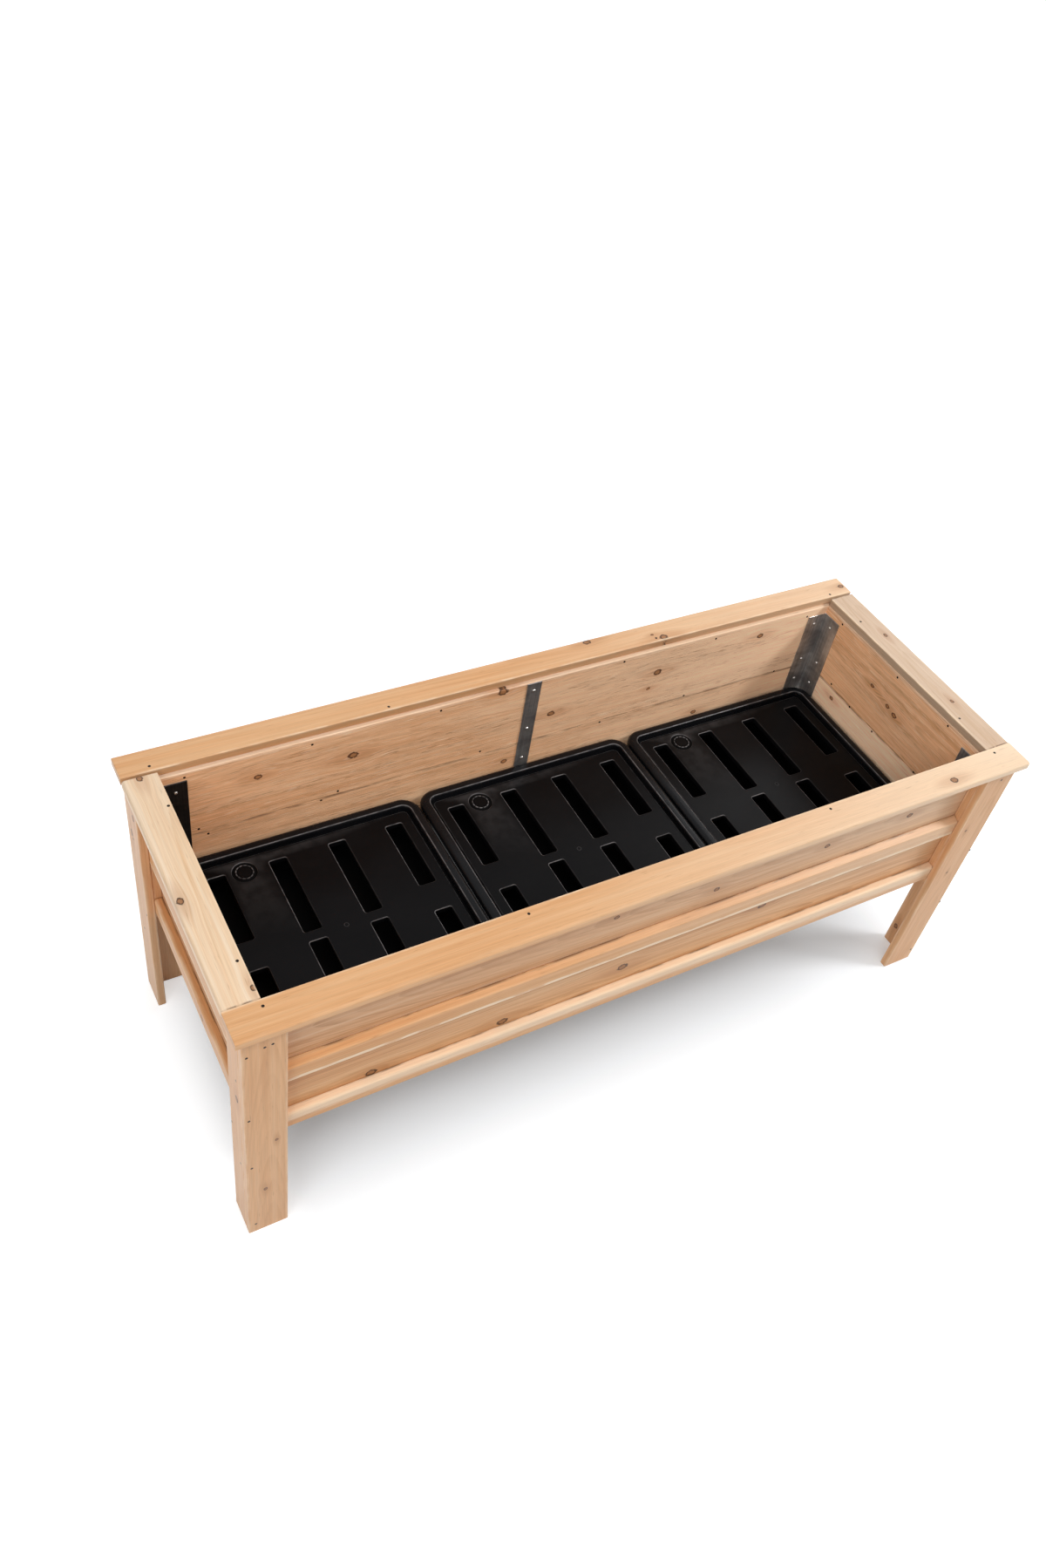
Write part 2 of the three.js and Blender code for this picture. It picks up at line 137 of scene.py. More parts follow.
# The painted highlight line on a rim's inner crest: how far in and how far down it reaches, and its strength.
RIM_HIGHLIGHT_INSET = 4.5 * MM
RIM_HIGHLIGHT_DROP = 1.2 * MM
RIM_HIGHLIGHT = 0.7
WELL_RINGS = 3
DECK_THICKNESS = 3.5 * MM
DECK_BELOW_RIM = 15 * MM
DECK_CLEARANCE = 0.5 * MM
DECK_BORDER = 8 * MM
DECK_STEP = 3 * MM
DECK_EDGE = 0.7 * MM
# The step: millimetres in from its middle, and over the border at its foot or over the deck at its brow
DECK_STEP_FOOT = ((-3.2, 0), (-2.2, 0.3))
DECK_STEP_BROW = ((-1.0, -0.6), (0, -0.1), (1, 0))
# A painted highlight along the top of the deck's step.
DECK_STEP_HIGHLIGHT = 0.3
SLOT_WIDTH = 40 * MM
SLOT_REACH = 226 * MM
SLOT_CORNER_RADIUS = 4.5 * MM
SLOT_CORNER_STEPS = 6
SLOT_COLUMNS = ((-211 * MM, 39 * MM), (-70.33 * MM, 14 * MM), (70.33 * MM, 14 * MM), (211 * MM, 39 * MM))
SLOT_LIP = 2.6 * MM
# Painted highlights on a slot's lip by ring, and their least share on the right and front sides.
SLOT_LIP_HIGHLIGHT = (0, 0.75, 0.95, 0.4)
SLOT_NEAR_HIGHLIGHT = 0.15
COLLAR_WALL = 2.5 * MM
COLLAR_EDGE = 0.5 * MM
COLLAR_DEPTH = 10 * MM

# Rings on the decks: millimetres from the middle and over the deck, and the painted highlights on the first
# ones
KNOCKOUT_CENTRE = Vector((-148.7 * MM, 218 * MM))
KNOCKOUT_SEGMENTS = 96
KNOCKOUT_DASH = 8
KNOCKOUT_DASH_GAP = 3
KNOCKOUT_CUT_DEPTH = 1.4 * MM
KNOCKOUT_MOAT = ((29.4, 0), (28.8, -0.2), (28.3, -0.9), (28.0, -2.6), (27.5, -3.0), (21.4, -3.0),
                 (20.9, -2.6), (20.6, -0.9), (20.1, 0.1), (19.5, 0.4), (18.4, 0.4), (17.8, 0.1))
KNOCKOUT_CUT = (17.3, 14.8)
KNOCKOUT_PLUG = 14.4
# The rings before faces that take the darker plastic, as painted shade in the moat and the cut.
KNOCKOUT_SHADED_RINGS = (2, 3, 4, 5, 6, 11, 12, 13)
KNOCKOUT_NEAR_HIGHLIGHT = 0.45
KNOCKOUT_EDGE_HIGHLIGHT = (0.2, 0.8, 0.9, 0.3, 0, 0, 0)
KNOCKOUT_GAP_HIGHLIGHT = 0.25
KNOCKOUT_BEAD_HIGHLIGHT = (0.2, 0.7, 0.9, 0.9, 0.5)
GATE_MARK_SEGMENTS = 24
GATE_MARK = ((6.0, 0), (5.4, 0.35), (4.6, 0.45), (4.0, 0.2), (3.2, -0.1), (1.7, -0.1), (1.2, 0.4), (0.5, 0.6))
GATE_MARK_HIGHLIGHT = (0, 0.2, 0.25)


def linear(red, green, blue):
    """A colour read as 0 to 255 screen values, in the linear values that a shader takes."""
    def channel(value):
        value /= 255
        return value / 12.92 if value <= 0.04045 else ((value + 0.055) / 1.055) ** 2.4
    return (channel(red), channel(green), channel(blue), 1)


def quarter_turn(steps):
    return [math.pi / 2 * step / steps for step in range(steps + 1)]


def full_turn(segments):
    return [2 * math.pi * segment / segments for segment in range(segments)]


# Node building

class Nodes:
    """Adds nodes to a tree. A value is a number, a tuple or the socket of another node."""

    def __init__(self, tree):
        self.tree = tree

    def add(self, kind, values=None, **settings):
        node = self.tree.nodes.new(kind)
        for name, value in settings.items():
            setattr(node, name, value)
        for key, value in (values or {}).items():
            self.put(node.inputs[key], value)
        return node

    def put(self, socket, value):
        if isinstance(value, bpy.types.NodeSocket):
            self.tree.links.new(value, socket)
        else:
            socket.default_value = value

    def math(self, operation, *values, clamp=False):
        node = self.add("ShaderNodeMath", dict(enumerate(values)), operation=operation, use_clamp=clamp)
        return node.outputs[0]

    def chain(self, operation, result, *values):
        for value in values:
            result = self.math(operation, result, value)
        return result

    def total(self, *values):
        return self.chain("ADD", *values)

    def product(self, *values):
        return self.chain("MULTIPLY", *values)

    def less(self, a, b):
        return self.math("SUBTRACT", a, b)

    def length(self, a, b):
        return self.math("SQRT", self.total(self.product(a, a), self.product(b, b)))

    def split(self, vector):
        return self.add("ShaderNodeSeparateXYZ", {0: vector}).outputs

    def join(self, x, y, z):
        return self.add("ShaderNodeCombineXYZ", {0: x, 1: y, 2: z}).outputs[0]

    def noise(self, vector, scale=1.0, detail=2.0, roughness=0.5):
        values = {"Vector": vector, "Scale": scale, "Detail": detail, "Roughness": roughness}
        return self.add("ShaderNodeTexNoise", values).outputs["Fac"]

    def drawn_noise(self, vector, scale, shift, **settings):
        """Noise with its own scale on each axis, moved by the same distance on all of them."""
        values = {0: vector, 1: scale, 2: self.join(shift, shift, shift)}
        place = self.add("ShaderNodeVectorMath", values, operation="MULTIPLY_ADD").outputs[0]
        return self.noise(place, **settings)

    def ramp(self, value, start, end, low=0.0, high=1.0, smooth=True):
        values = {0: value, 1: start, 2: end, 3: low, 4: high}
        kind = "SMOOTHSTEP" if smooth else "LINEAR"
        return self.add("ShaderNodeMapRange", values, interpolation_type=kind).outputs[0]

    def mix(self, amount, a, b, blend="MIX"):
        values = {"Factor": amount, "A": a, "B": b}
        return self.add("ShaderNodeMix", values, data_type="RGBA", blend_type=blend).outputs["Result"]

    def shaded(self, colour, shade):
        return self.mix(1.0, colour, self.join(shade, shade, shade), blend="MULTIPLY")

    def object_place(self):
        return self.add("ShaderNodeTexCoord").outputs["Object"]

    def attribute(self, name, output):
        return self.add("ShaderNodeAttribute", attribute_name=name).outputs[output]

    def bump(self, height, strength, distance):
        values = {"Height": height, "Strength": strength, "Distance": distance}
        return self.add("ShaderNodeBump", values).outputs[0]

    def group(self, tree, **values):
        node = self.add("ShaderNodeGroup", node_tree=tree)
        self.fill(node.inputs, **values)
        return node.outputs

    def fill(self, sockets, **values):
        """Puts values into sockets by name, with underscores for the spaces."""
        for name, value in values.items():
            self.put(sockets[name.replace("_", " ")], value)


SOCKETS = {"value": "NodeSocketFloat", "vector": "NodeSocketVector", "colour": "NodeSocketColor"}


def new_group(name, inputs, outputs):
    """A shader node group with its sockets' names by kind: its tree, node builder, inputs and outputs."""
    tree = bpy.data.node_groups.new(name, "ShaderNodeTree")
    for direction, sockets in (("INPUT", inputs), ("OUTPUT", outputs)):
        for kind, names in sockets.items():
            for socket in names:
                tree.interface.new_socket(socket, in_out=direction, socket_type=SOCKETS[kind])
    nodes = Nodes(tree)
    entry = nodes.add("NodeGroupInput").outputs
    leave = nodes.add("NodeGroupOutput").inputs
    return tree, nodes, entry, leave


GRAIN_INPUTS = ("Grain", "Seed", "Pith Across", "Pith Depth", "Tilt", "Rings")


def cedar_grain_group():
    """Growth rings about a pith beside the board, fine fibre, short flecks and broad streaks of colour."""
    inputs = {"vector": GRAIN_INPUTS[:1], "value": GRAIN_INPUTS[1:]}
    outputs = {"value": ("Ring", "Fibre", "Fleck", "Streak", "Cloud")}
    tree, n, given, out = new_group("cedar grain", inputs, outputs)
    grain, seed = given["Grain"], given["Seed"]
    along, across, depth = n.split(grain)
    wander = n.less(n.drawn_noise(grain, (1.4, 7, 7), seed, detail=1), 0.5)
    from_pith_across = n.total(n.less(across, given["Pith Across"]), n.product(wander, 0.03))
    from_pith_depth = n.total(n.less(depth, given["Pith Depth"]), n.product(along, given["Tilt"]))
    radius = n.length(from_pith_across, from_pith_depth)
    phase = n.total(n.product(radius, given["Rings"]), seed)
    year = n.math("FRACT", phase)
    latewood = n.product(n.ramp(year, 0.25, 0.92), n.ramp(year, 0.93, 1.0, 1, 0))
    which_year = n.add("ShaderNodeTexWhiteNoise", {"W": n.math("FLOOR", phase)}, noise_dimensions="1D")
    fibre = n.drawn_noise(grain, (9, 620, 620), seed, detail=3, roughness=0.6)
    fleck = n.drawn_noise(grain, (26, 360, 360), seed, detail=1)
    streak = n.drawn_noise(grain, (1.6, 80, 80), seed, detail=3, roughness=0.55)
    cloud = n.drawn_noise(grain, (2.2, 12, 12), seed)
    n.fill(out, Ring=n.product(latewood, n.ramp(which_year.outputs["Value"], 0, 1, 0.35, 1)),
           Fibre=n.ramp(fibre, 0.25, 0.75, smooth=False), Fleck=n.ramp(fleck, 0.66, 0.8),
           Streak=n.ramp(streak, 0.3, 0.7, smooth=False), Cloud=n.ramp(cloud, 0.32, 0.68))
    return tree


def knot_group():
    """One knot: the grain parts around a brown heart in a dark bark ring, with a ruddy halo along it."""
    inputs = {"vector": ("Place", "Grain"), "value": ("Along", "Across", "Radius", "Heart", "Bark", "Halo")}
    outputs = {"vector": ("Grain",), "value": ("Heart", "Bark", "Halo")}
    tree, n, given, out = new_group("knot", inputs, outputs)
    along, across, _ = n.split(given["Place"])
    reach_along = n.math("DIVIDE", n.less(along, given["Along"]), given["Radius"])
    reach_across = n.math("DIVIDE", n.less(across, given["Across"]), given["Radius"])
    uneven = n.product(n.less(n.noise(given["Place"], scale=170, detail=1), 0.5), 0.7)
    reach = n.total(n.length(n.product(reach_along, 0.75), reach_across), uneven)
    heart = n.ramp(reach, 0.7, 1.05, 1, 0)
    bark = n.product(n.ramp(reach, 0.55, 0.85), n.ramp(reach, 0.95, 1.25, 1, 0))
    halo = n.ramp(n.length(n.product(reach_along, 0.3), reach_across), 0.8, 3.4, 1, 0)
    pull = n.ramp(n.length(n.product(reach_along, 0.4), reach_across), 0, 5.5, 0.8, 0)
    warp = n.product(n.less(across, given["Across"]), pull)
    x, y, z = n.split(given["Grain"])
    n.put(out["Grain"], n.join(x, n.less(y, warp), z))
    for name, mask in (("Heart", heart), ("Bark", bark), ("Halo", halo)):
        n.put(out[name], n.math("MAXIMUM", given[name], mask))
    return tree


def saw_fuzz_group():
    """Rough-sawn face: long fine fibres, short dark tears a little across them, cream fluff and bands."""
    outputs = {"value": ("Fibre", "Tear", "Fluff", "Band")}
    tree, n, given, out = new_group("saw fuzz", {"vector": ("Grain",), "value": ("Seed",)}, outputs)
    grain, seed = given["Grain"], given["Seed"]
    turned = n.add("ShaderNodeVectorRotate", {"Vector": grain, "Angle": math.radians(-3)},
                   rotation_type="Z_AXIS").outputs[0]
    fibre = n.drawn_noise(grain, (9, 420, 420), seed, detail=4, roughness=0.62)
    tear = n.drawn_noise(turned, (30, 290, 290), n.total(seed, 31.0))
    fluff = n.drawn_noise(turned, (22, 240, 240), n.total(seed, 71.0))
    band = n.drawn_noise(grain, (2.4, 30, 30), n.total(seed, 57.0), detail=3)
    n.fill(out, Fibre=n.ramp(fibre, 0.3, 0.7, smooth=False), Fluff=n.ramp(fluff, 0.56, 0.74),
           Tear=n.product(n.ramp(tear, 0.54, 0.7), n.ramp(band, 0.62, 0.4, 0.25, 1)),
           Band=n.ramp(band, 0.32, 0.68, smooth=False))
    return tree


def edge_wear_and_highlight_group():
    """Where the eased edges are worn pale or carry a painted highlight, more in some stretches, and the
    painted shade in a butt joint.
    """
    inputs = {"vector": ("Grain",), "value": ("Seed",)}
    tree, n, given, out = new_group("edge wear and highlight", inputs, {"value": ("WearAndHighlight", "Seam")})
    patches = n.drawn_noise(given["Grain"], (14, 60, 60), given["Seed"], detail=3)
    edge = n.attribute("edge", "Fac")
    eased = n.math("MAXIMUM", edge, 0.0)
    butted = n.math("MAXIMUM", n.product(edge, -1.0), 0.0)
    n.fill(out, WearAndHighlight=n.product(eased, n.ramp(patches, 0.35, 0.65, 0.12, 1)),
           Seam=n.product(butted, n.ramp(patches, 0.4, 0.62, 0.2, 1)))
    return tree


TONE_NAMES = ("Early", "Late", "Pale", "Ruddy")


def cedar_group():
    """The colour, sheen and relief of a board from its grain, its knots, its worn edges and its sawn face."""
    values = ("Figure", "Sawn", "Fluffy Edge", "Heart", "Bark", "Halo", "Sapwood")
    inputs = {"vector": ("Place", "Grain"), "colour": TONE_NAMES + ("Fluff",),
              "value": GRAIN_INPUTS[1:] + values}
    outputs = {"colour": ("Colour",), "value": ("Roughness", "Height")}
    tree, n, given, out = new_group("cedar", inputs, outputs)
    sawn = given["Sawn"]
    wood = n.group(CEDAR_GRAIN, **{name: given[name] for name in GRAIN_INPUTS})
    rough = n.group(SAW_FUZZ, Grain=given["Grain"], Seed=given["Seed"])
    edge = n.group(EDGE_WEAR_AND_HIGHLIGHT, Grain=given["Place"], Seed=given["Seed"])
    along, across, _ = n.split(given["Place"])
    figure = n.product(given["Figure"], n.ramp(sawn, 0, 1, 1, 0.6))
    toward_sapwood_and_sheen = n.total(along, n.product(wood["Cloud"], 0.2), 0.1)
    sawn_fibre = n.less(rough["Fibre"], 0.5)
    ragged = n.total(across, n.product(sawn_fibre, 0.014))
    pale_band = n.ramp(n.less(ragged, given["Fluffy Edge"]), -0.012, 0.002)
    # Where each tint lies, how much of it shows there, and the tint
    layers = ((wood["Ring"], figure, given["Late"]),
              (n.ramp(wood["Streak"], 0.5, 0.9), figure, given["Pale"]),
              (n.ramp(wood["Streak"], 0.5, 0.1), figure, given["Ruddy"]),
              # Cream toward the right-hand end: paler wood with a painted sheen.
              (toward_sapwood_and_sheen, given["Sapwood"], SAPWOOD_AND_SHEEN_CREAM),
              (n.product(rough["Tear"], sawn), 0.5, TORN_BROWN),
              (n.product(rough["Fluff"], sawn), 0.55, FLUFF_CREAM),
              # A pale band: a painted highlight on a rail's top, fuzz with a painted highlight on a wall's
              # top.
              (pale_band, 0.85, given["Fluff"]),
              (wood["Cloud"], 0.3, given["Pale"]),
              (wood["Fleck"], 0.3, FLECK_BROWN),
              (given["Halo"], 0.3, KNOT_HALO),
              (given["Heart"], 0.85, KNOT_HEART),
              (given["Bark"], 0.9, KNOT_BARK),
              # Worn pale edges, with painted highlights on edges marked past 1.
              (edge["WearAndHighlight"], 0.45, PALE_EDGE),
              # Painted shade in joints.
              (edge["Seam"], 0.75, SEAM_SHADE_BROWN))
    colour = given["Early"]
    for mask, share, tint in layers:
        colour = n.mix(n.math("MULTIPLY", mask, share, clamp=True), colour, tint)
    planed_shade = n.ramp(wood["Fibre"], 0, 1, 0.9, 1.08, smooth=False)
    sawn_band = n.less(rough["Band"], 0.5)
    # Sawn faces are lifted by a quarter: their paler sawn wood, and painted light on the shaded inside of the
    # bed.
    sawn_shade = n.total(n.product(sawn_fibre, 0.38), n.product(sawn_band, 0.18), 0.26)
    # Darker on the ends as end grain, and on a cap's inner face as painted shade.
    end_and_shade_darkening = n.product(n.attribute("end_grain_and_shade", "Fac"), -0.16)
    shade = n.total(planed_shade, n.product(sawn_shade, sawn), end_and_shade_darkening)
    planed_dullness = n.ramp(wood["Fibre"], 0, 1, 0.34, 0.46, smooth=False)
    sawn_relief = n.total(n.product(rough["Fibre"], 1.2), n.product(rough["Tear"], -1.2), rough["Fluff"])
    relief = n.total(n.product(wood["Fibre"], 0.3), n.product(wood["Ring"], 0.25),
                     n.product(sawn_relief, sawn), n.product(given["Bark"], -0.8))
    n.fill(out, Colour=n.shaded(colour, shade), Height=relief,
           Roughness=n.total(planed_dullness, n.product(sawn, 0.35)))
    return tree


def moulding_group():
    """Moulded plastic: a fine pebbled skin, broad smears of handling and painted grey highlights on the lips.
    """
    outputs = {"value": ("Pebble", "Smear", "Highlight")}
    tree, n, given, out = new_group("moulding", {"vector": ("Place",)}, outputs)
    smear = n.drawn_noise(given["Place"], (5, 9, 9), 3.0, detail=4, roughness=0.65)
    patches = n.noise(given["Place"], scale=42, detail=3)
    n.fill(out, Pebble=n.noise(given["Place"], scale=900), Smear=n.ramp(smear, 0.35, 0.7),
           Highlight=n.product(n.attribute("lip", "Fac"), n.ramp(patches, 0.3, 0.65, 0.35, 1)))
    return tree


# Pale worn edges, also the colour of painted highlights on edges.
PALE_EDGE = linear(248, 220, 186)
KNOT_HALO = linear(170, 104, 56)
KNOT_HEART = linear(150, 99, 58)
KNOT_BARK = linear(62, 38, 24)
FLECK_BROWN = linear(150, 96, 56)
TORN_BROWN = linear(150, 99, 64)
FLUFF_CREAM = linear(242, 214, 184)
# The cream of a wall's top band: its fuzz with a painted highlight.
TOP_BAND_CREAM = linear(222, 197, 172)
# Cream of paler wood with a painted sheen, also the painted highlight on the front bottom rail's top.
SAPWOOD_AND_SHEEN_CREAM = linear(246, 220, 190)
# Painted shade in joints.
SEAM_SHADE_BROWN = linear(104, 70, 46)
# The painted highlight grey of the lips on moulded plastic.
HIGHLIGHT_GREY = linear(122, 120, 121)

CEDAR_GRAIN = cedar_grain_group()
KNOT = knot_group()
SAW_FUZZ = saw_fuzz_group()
EDGE_WEAR_AND_HIGHLIGHT = edge_wear_and_highlight_group()
CEDAR = cedar_group()
MOULDING = moulding_group()


# Finishes

# Early wood, late wood, pale streak and ruddy streak of each kind of board
TONES = {
    "cap": ((225, 172, 123), (209, 153, 103), (230, 186, 141), (215, 155, 102)),
    "pale_cap": ((240, 209, 174), (222, 178, 132), (247, 227, 203), (231, 189, 147)),
    # The right cap: cap wood made darker and greyer, as painted shade with a painted sheen.
    "grey_cap": ((209, 179, 151), (190, 154, 121), (218, 194, 169), (197, 162, 128)),
    "leg": ((223, 171, 124), (206, 151, 105), (230, 185, 141), (212, 156, 109)),
    "rail": ((222, 166, 114), (200, 141, 90), (231, 184, 137), (212, 150, 96)),
    "pale_rail": ((224, 179, 138), (204, 153, 109), (234, 198, 162), (211, 158, 111)),
    "wall": ((224, 175, 132), (193, 140, 97), (232, 191, 152), (203, 148, 103)),
    "ruddy_wall": ((222, 166, 116), (190, 131, 82), (230, 184, 138), (200, 140, 89)),
    "pale_wall": ((242, 209, 176), (221, 179, 140), (248, 224, 197), (229, 188, 148)),
    "floor": ((205, 165, 124), (178, 136, 95), (218, 184, 146), (186, 140, 98)),
}
# Ranges for each board: a seed, growth rings per metre, the pith's place beside and under it, and its tilt
GRAIN_SEEDS = (0, 90)
RINGS_PER_METRE = (210, 320)
PITH_BESIDE = (0.0, 0.05)
PITH_UNDER = (0.03, 0.09)
PITH_TILT = (0.015, 0.05)
CEDAR_GLOSS = 0.26
SAWN_SKIN = (2.5 * MM, 1 * MM)
NO_EDGE = 10.0


def new_material(name):
    """A material, the builder of its nodes and the inputs of its surface."""
    material = bpy.data.materials.new(name)
    material.use_nodes = True
    return material, Nodes(material.node_tree), material.node_tree.nodes["Principled BSDF"].inputs


def cedar(name, tone, knots, figure=0.6, sawn_face=None, sapwood_and_sheen=0.0, fluffy_edge=NO_EDGE,
          fluff=TOP_BAND_CREAM):
    """Cedar for one board, with knots as (along, across, radius) from its middle.

    A rough-sawn face is given by the side that it looks to, -1 or 1, and its depth from the board's middle.
    Sapwood and sheen: how fast the board turns cream from its middle to its far end, paler wood with a
    painted sheen. From a distance across the board a pale band runs to its edge: a painted highlight, with
    fuzz on a wall's top.
    """
    rng = random.Random(name)
    seed = rng.uniform(*GRAIN_SEEDS)
    tones = dict(zip(TONE_NAMES, (linear(*shade) for shade in TONES[tone])))
    material, n, surface = new_material(name)
    place = n.attribute("grain", "Vector")
    knotted = {"Grain": place, "Heart": 0.0, "Bark": 0.0, "Halo": 0.0}
    for along, across, radius in knots:
        knot = n.group(KNOT, Place=place, Along=along, Across=across, Radius=radius, **knotted)
        knotted = {part: knot[part] for part in knotted}
    sawn = 0.0
    if sawn_face:
        side, depth = sawn_face
        sawn = n.ramp(n.product(n.split(place)[2], side), *(depth - under for under in SAWN_SKIN))
    wood = n.group(CEDAR, Place=place, Seed=seed, Rings=rng.uniform(*RINGS_PER_METRE),
                   Pith_Across=rng.choice((-1, 1)) * rng.uniform(*PITH_BESIDE),
                   Pith_Depth=-rng.uniform(*PITH_UNDER), Tilt=rng.choice((-1, 1)) * rng.uniform(*PITH_TILT),
                   Figure=figure, Sawn=sawn, Fluffy_Edge=fluffy_edge, Fluff=fluff, Sapwood=sapwood_and_sheen,
                   **knotted, **tones)
    n.fill(surface, Base_Color=wood["Colour"], Roughness=wood["Roughness"], Specular_IOR_Level=CEDAR_GLOSS,
           Normal=n.bump(wood["Height"], 0.5, 0.5 * MM))
    return material


def bent_steel(name, dull, bright):
    material, n, surface = new_material(name)
    place = n.object_place()
    mottle = n.ramp(n.drawn_noise(place, (9, 9, 13), 5.0, detail=3, roughness=0.55), 0.36, 0.64)
    rolled = n.drawn_noise(place, (260, 260, 5), 8.0)
    colour = n.mix(mottle, linear(*dull), linear(*bright))
    n.fill(surface, Base_Color=n.shaded(colour, n.ramp(rolled, 0.3, 0.7, 0.82, 1.1)), Metallic=0.9,
           Roughness=n.ramp(mottle, 0, 1, 0.5, 0.36), Normal=n.bump(n.total(mottle, rolled), 0.15, 0.2 * MM))
    return material


def nail_metal(name, bright, dull):
    material, n, surface = new_material(name)
    tarnish = n.ramp(n.noise(n.object_place(), scale=420, detail=3), 0.35, 0.65)
    n.fill(surface, Base_Color=n.mix(tarnish, linear(*bright), linear(*dull)), Metallic=1.0,
           Roughness=n.ramp(tarnish, 0, 1, 0.28, 0.5))
    return material


def black_plastic(name, dark, light, roughness, gloss, pebble):
    material, n, surface = new_material(name)
    skin = n.group(MOULDING, Place=n.object_place())
    colour = n.mix(skin["Smear"], linear(*dark), linear(*light))
    # The lips are painted grey as highlights.
    n.fill(surface, Base_Color=n.mix(skin["Highlight"], colour, HIGHLIGHT_GREY), Specular_IOR_Level=gloss,
           Roughness=n.ramp(skin["Smear"], 0, 1, roughness, roughness + 0.06),
           Normal=n.bump(skin["Pebble"], pebble, 0.1 * MM))
    return material


# Mesh helpers

def new_object(name, data):
    """An object in the scene, from a mesh, a lamp or a camera."""
    thing = bpy.data.objects.new(name, data)
    bpy.context.scene.collection.objects.link(thing)
    return thing


def put_values(mesh, name, domain, values):
    mesh.attributes.new(name, "FLOAT", domain).data.foreach_set("value", values)


def new_piece(name, points, faces, material, body, sharp=PIECE_BREAK):
    """A smooth-shaded mesh with its faces turned out, riding on a body."""
    mesh = bpy.data.meshes.new(name)
    mesh.from_pydata([tuple(point) for point in points], [], faces)
    return finish_piece(name, mesh, material, body, sharp)


def finish_piece(name, mesh, material, body, sharp=PIECE_BREAK):
    shell = bmesh.new()
    shell.from_mesh(mesh)
    bmesh.ops.recalc_face_normals(shell, faces=shell.faces)
    shell.to_mesh(mesh)
    shell.free()
    mesh.polygons.foreach_set("use_smooth", [True] * len(mesh.polygons))
    mesh.set_sharp_from_angle(angle=math.radians(sharp))
    mesh.materials.append(material)
    piece = new_object(name, mesh)
    piece.modifiers.new("flat faces", "WEIGHTED_NORMAL").keep_sharp = True
    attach(piece, body)
    return piece


def stand_for(node):
    """The piece is seen in place of a node, which is hidden."""
    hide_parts(node)


def bridge(rings):
    """Faces between rings of equal count and at both ends, as indices into the rings laid end to end."""
    count = len(rings[0])
    faces = []
    for ring in range(len(rings) - 1):
        for place in range(count):
            after = (place + 1) % count
            faces.append((ring * count + place, ring * count + after,
                          (ring + 1) * count + after, (ring + 1) * count + place))
    last = (len(rings) - 1) * count
    return faces + [tuple(reversed(range(count))), tuple(range(last, last + count))]


def rounded_section(corners, radii, inset, marks=(1, 1, 1, 1), bands=(EDGE_BAND,) * 4):
    """A convex section, counter-clockwise, drawn in and rounded: points with their edge's mark."""
    count = len(corners)
    sides = [(corners[(i + 1) % count] - corners[i]).normalized() for i in range(count)]
    inward = [Vector((-side.y, side.x)) for side in sides]
    arcs = []
    for i in range(count):
        before, after = inward[i - 1], inward[i]
        corner = corners[i] + inset * (before + after) / (1 + before.dot(after))
        radius = max(radii[i] - inset, LEAST_RADIUS)
        turn = before.angle(after)
        centre = corner + (before + after).normalized() * radius / math.cos(turn / 2)
        spokes = [Matrix.Rotation(turn * step / ARC_STEPS, 2) @ before for step in range(ARC_STEPS + 1)]
        arcs.append([centre - spoke * radius for spoke in spokes])
    ring = []
    for i in range(count):
        start, end = arcs[i][-1], arcs[(i + 1) % count][0]
        side = (end - start).length
        reach = [min(band / side, EDGE_BAND_SHARE) for band in (bands[i], bands[(i + 1) % count])]
        ring += [(point, float(marks[i])) for point in arcs[i]]
        ring += [(start.lerp(end, reach[0]), 0.0), (start.lerp(end, 1 - reach[1]), 0.0)]
    return ring


def span(node, axis):
    """Where a node's box starts along a signed axis, and its size that way."""
    low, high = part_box(node)
    return min(low.dot(axis), high.dot(axis)), abs((high - low).dot(axis))


class BoardPlace:
    """A board's own axes and sizes: along its length, across its width and out of its show face."""

    def __init__(self, node, along, across, face):
        self.node = node
        self.axes = (along, across, face)
        self.spans = [span(node, axis) for axis in self.axes]
        self.length, self.width, self.depth = (size for _, size in self.spans)

    def point(self, *local):
        return sum((axis * (start + value) for axis, (start, _), value in zip(self.axes, self.spans, local)),
                   Vector())

    def section(self):
        """The corners of its plain section, counter-clockwise, across the width and the depth."""
        shares = ((0, 0), (1, 0), (1, 1), (0, 1))
        return [Vector((across * self.width, deep * self.depth)) for across, deep in shares]

    def knot(self, along, across, radius):
        """A knot from the board's middle, given in the object's own millimetres along and across it."""
        local = [sum(axis) * value * MM - (start + size / 2)
                 for axis, (start, size), value in zip(self.axes, self.spans, (along, across))]
        return (*local, radius * MM)


def board_stations(place):
    """Places along a board with the inset of its section: eased ends, and edges that wander between them."""
    lead = [(END_EASE * (1 - math.cos(turn)), END_EASE * (1 - math.sin(turn)))
            for turn in quarter_turn(END_EASE_STEPS)]
    lead.append((END_EASE + END_BAND, 0.0))
    stations = list(lead)
    straight = place.length - 2 * END_EASE
    count = max(1, round(straight / STATION_PITCH))
    phase = random.Random(place.node).uniform(*WANDER_PHASES)
    for step in range(1, count):
        along = END_EASE + straight * step / count
        sway = noise.noise(Vector((along * WANDER_RATE, phase, 0)))
        stations.append((along, EDGE_WANDER * max(0.0, sway)))
    return stations + [(place.length - along, inset) for along, inset in reversed(lead)]


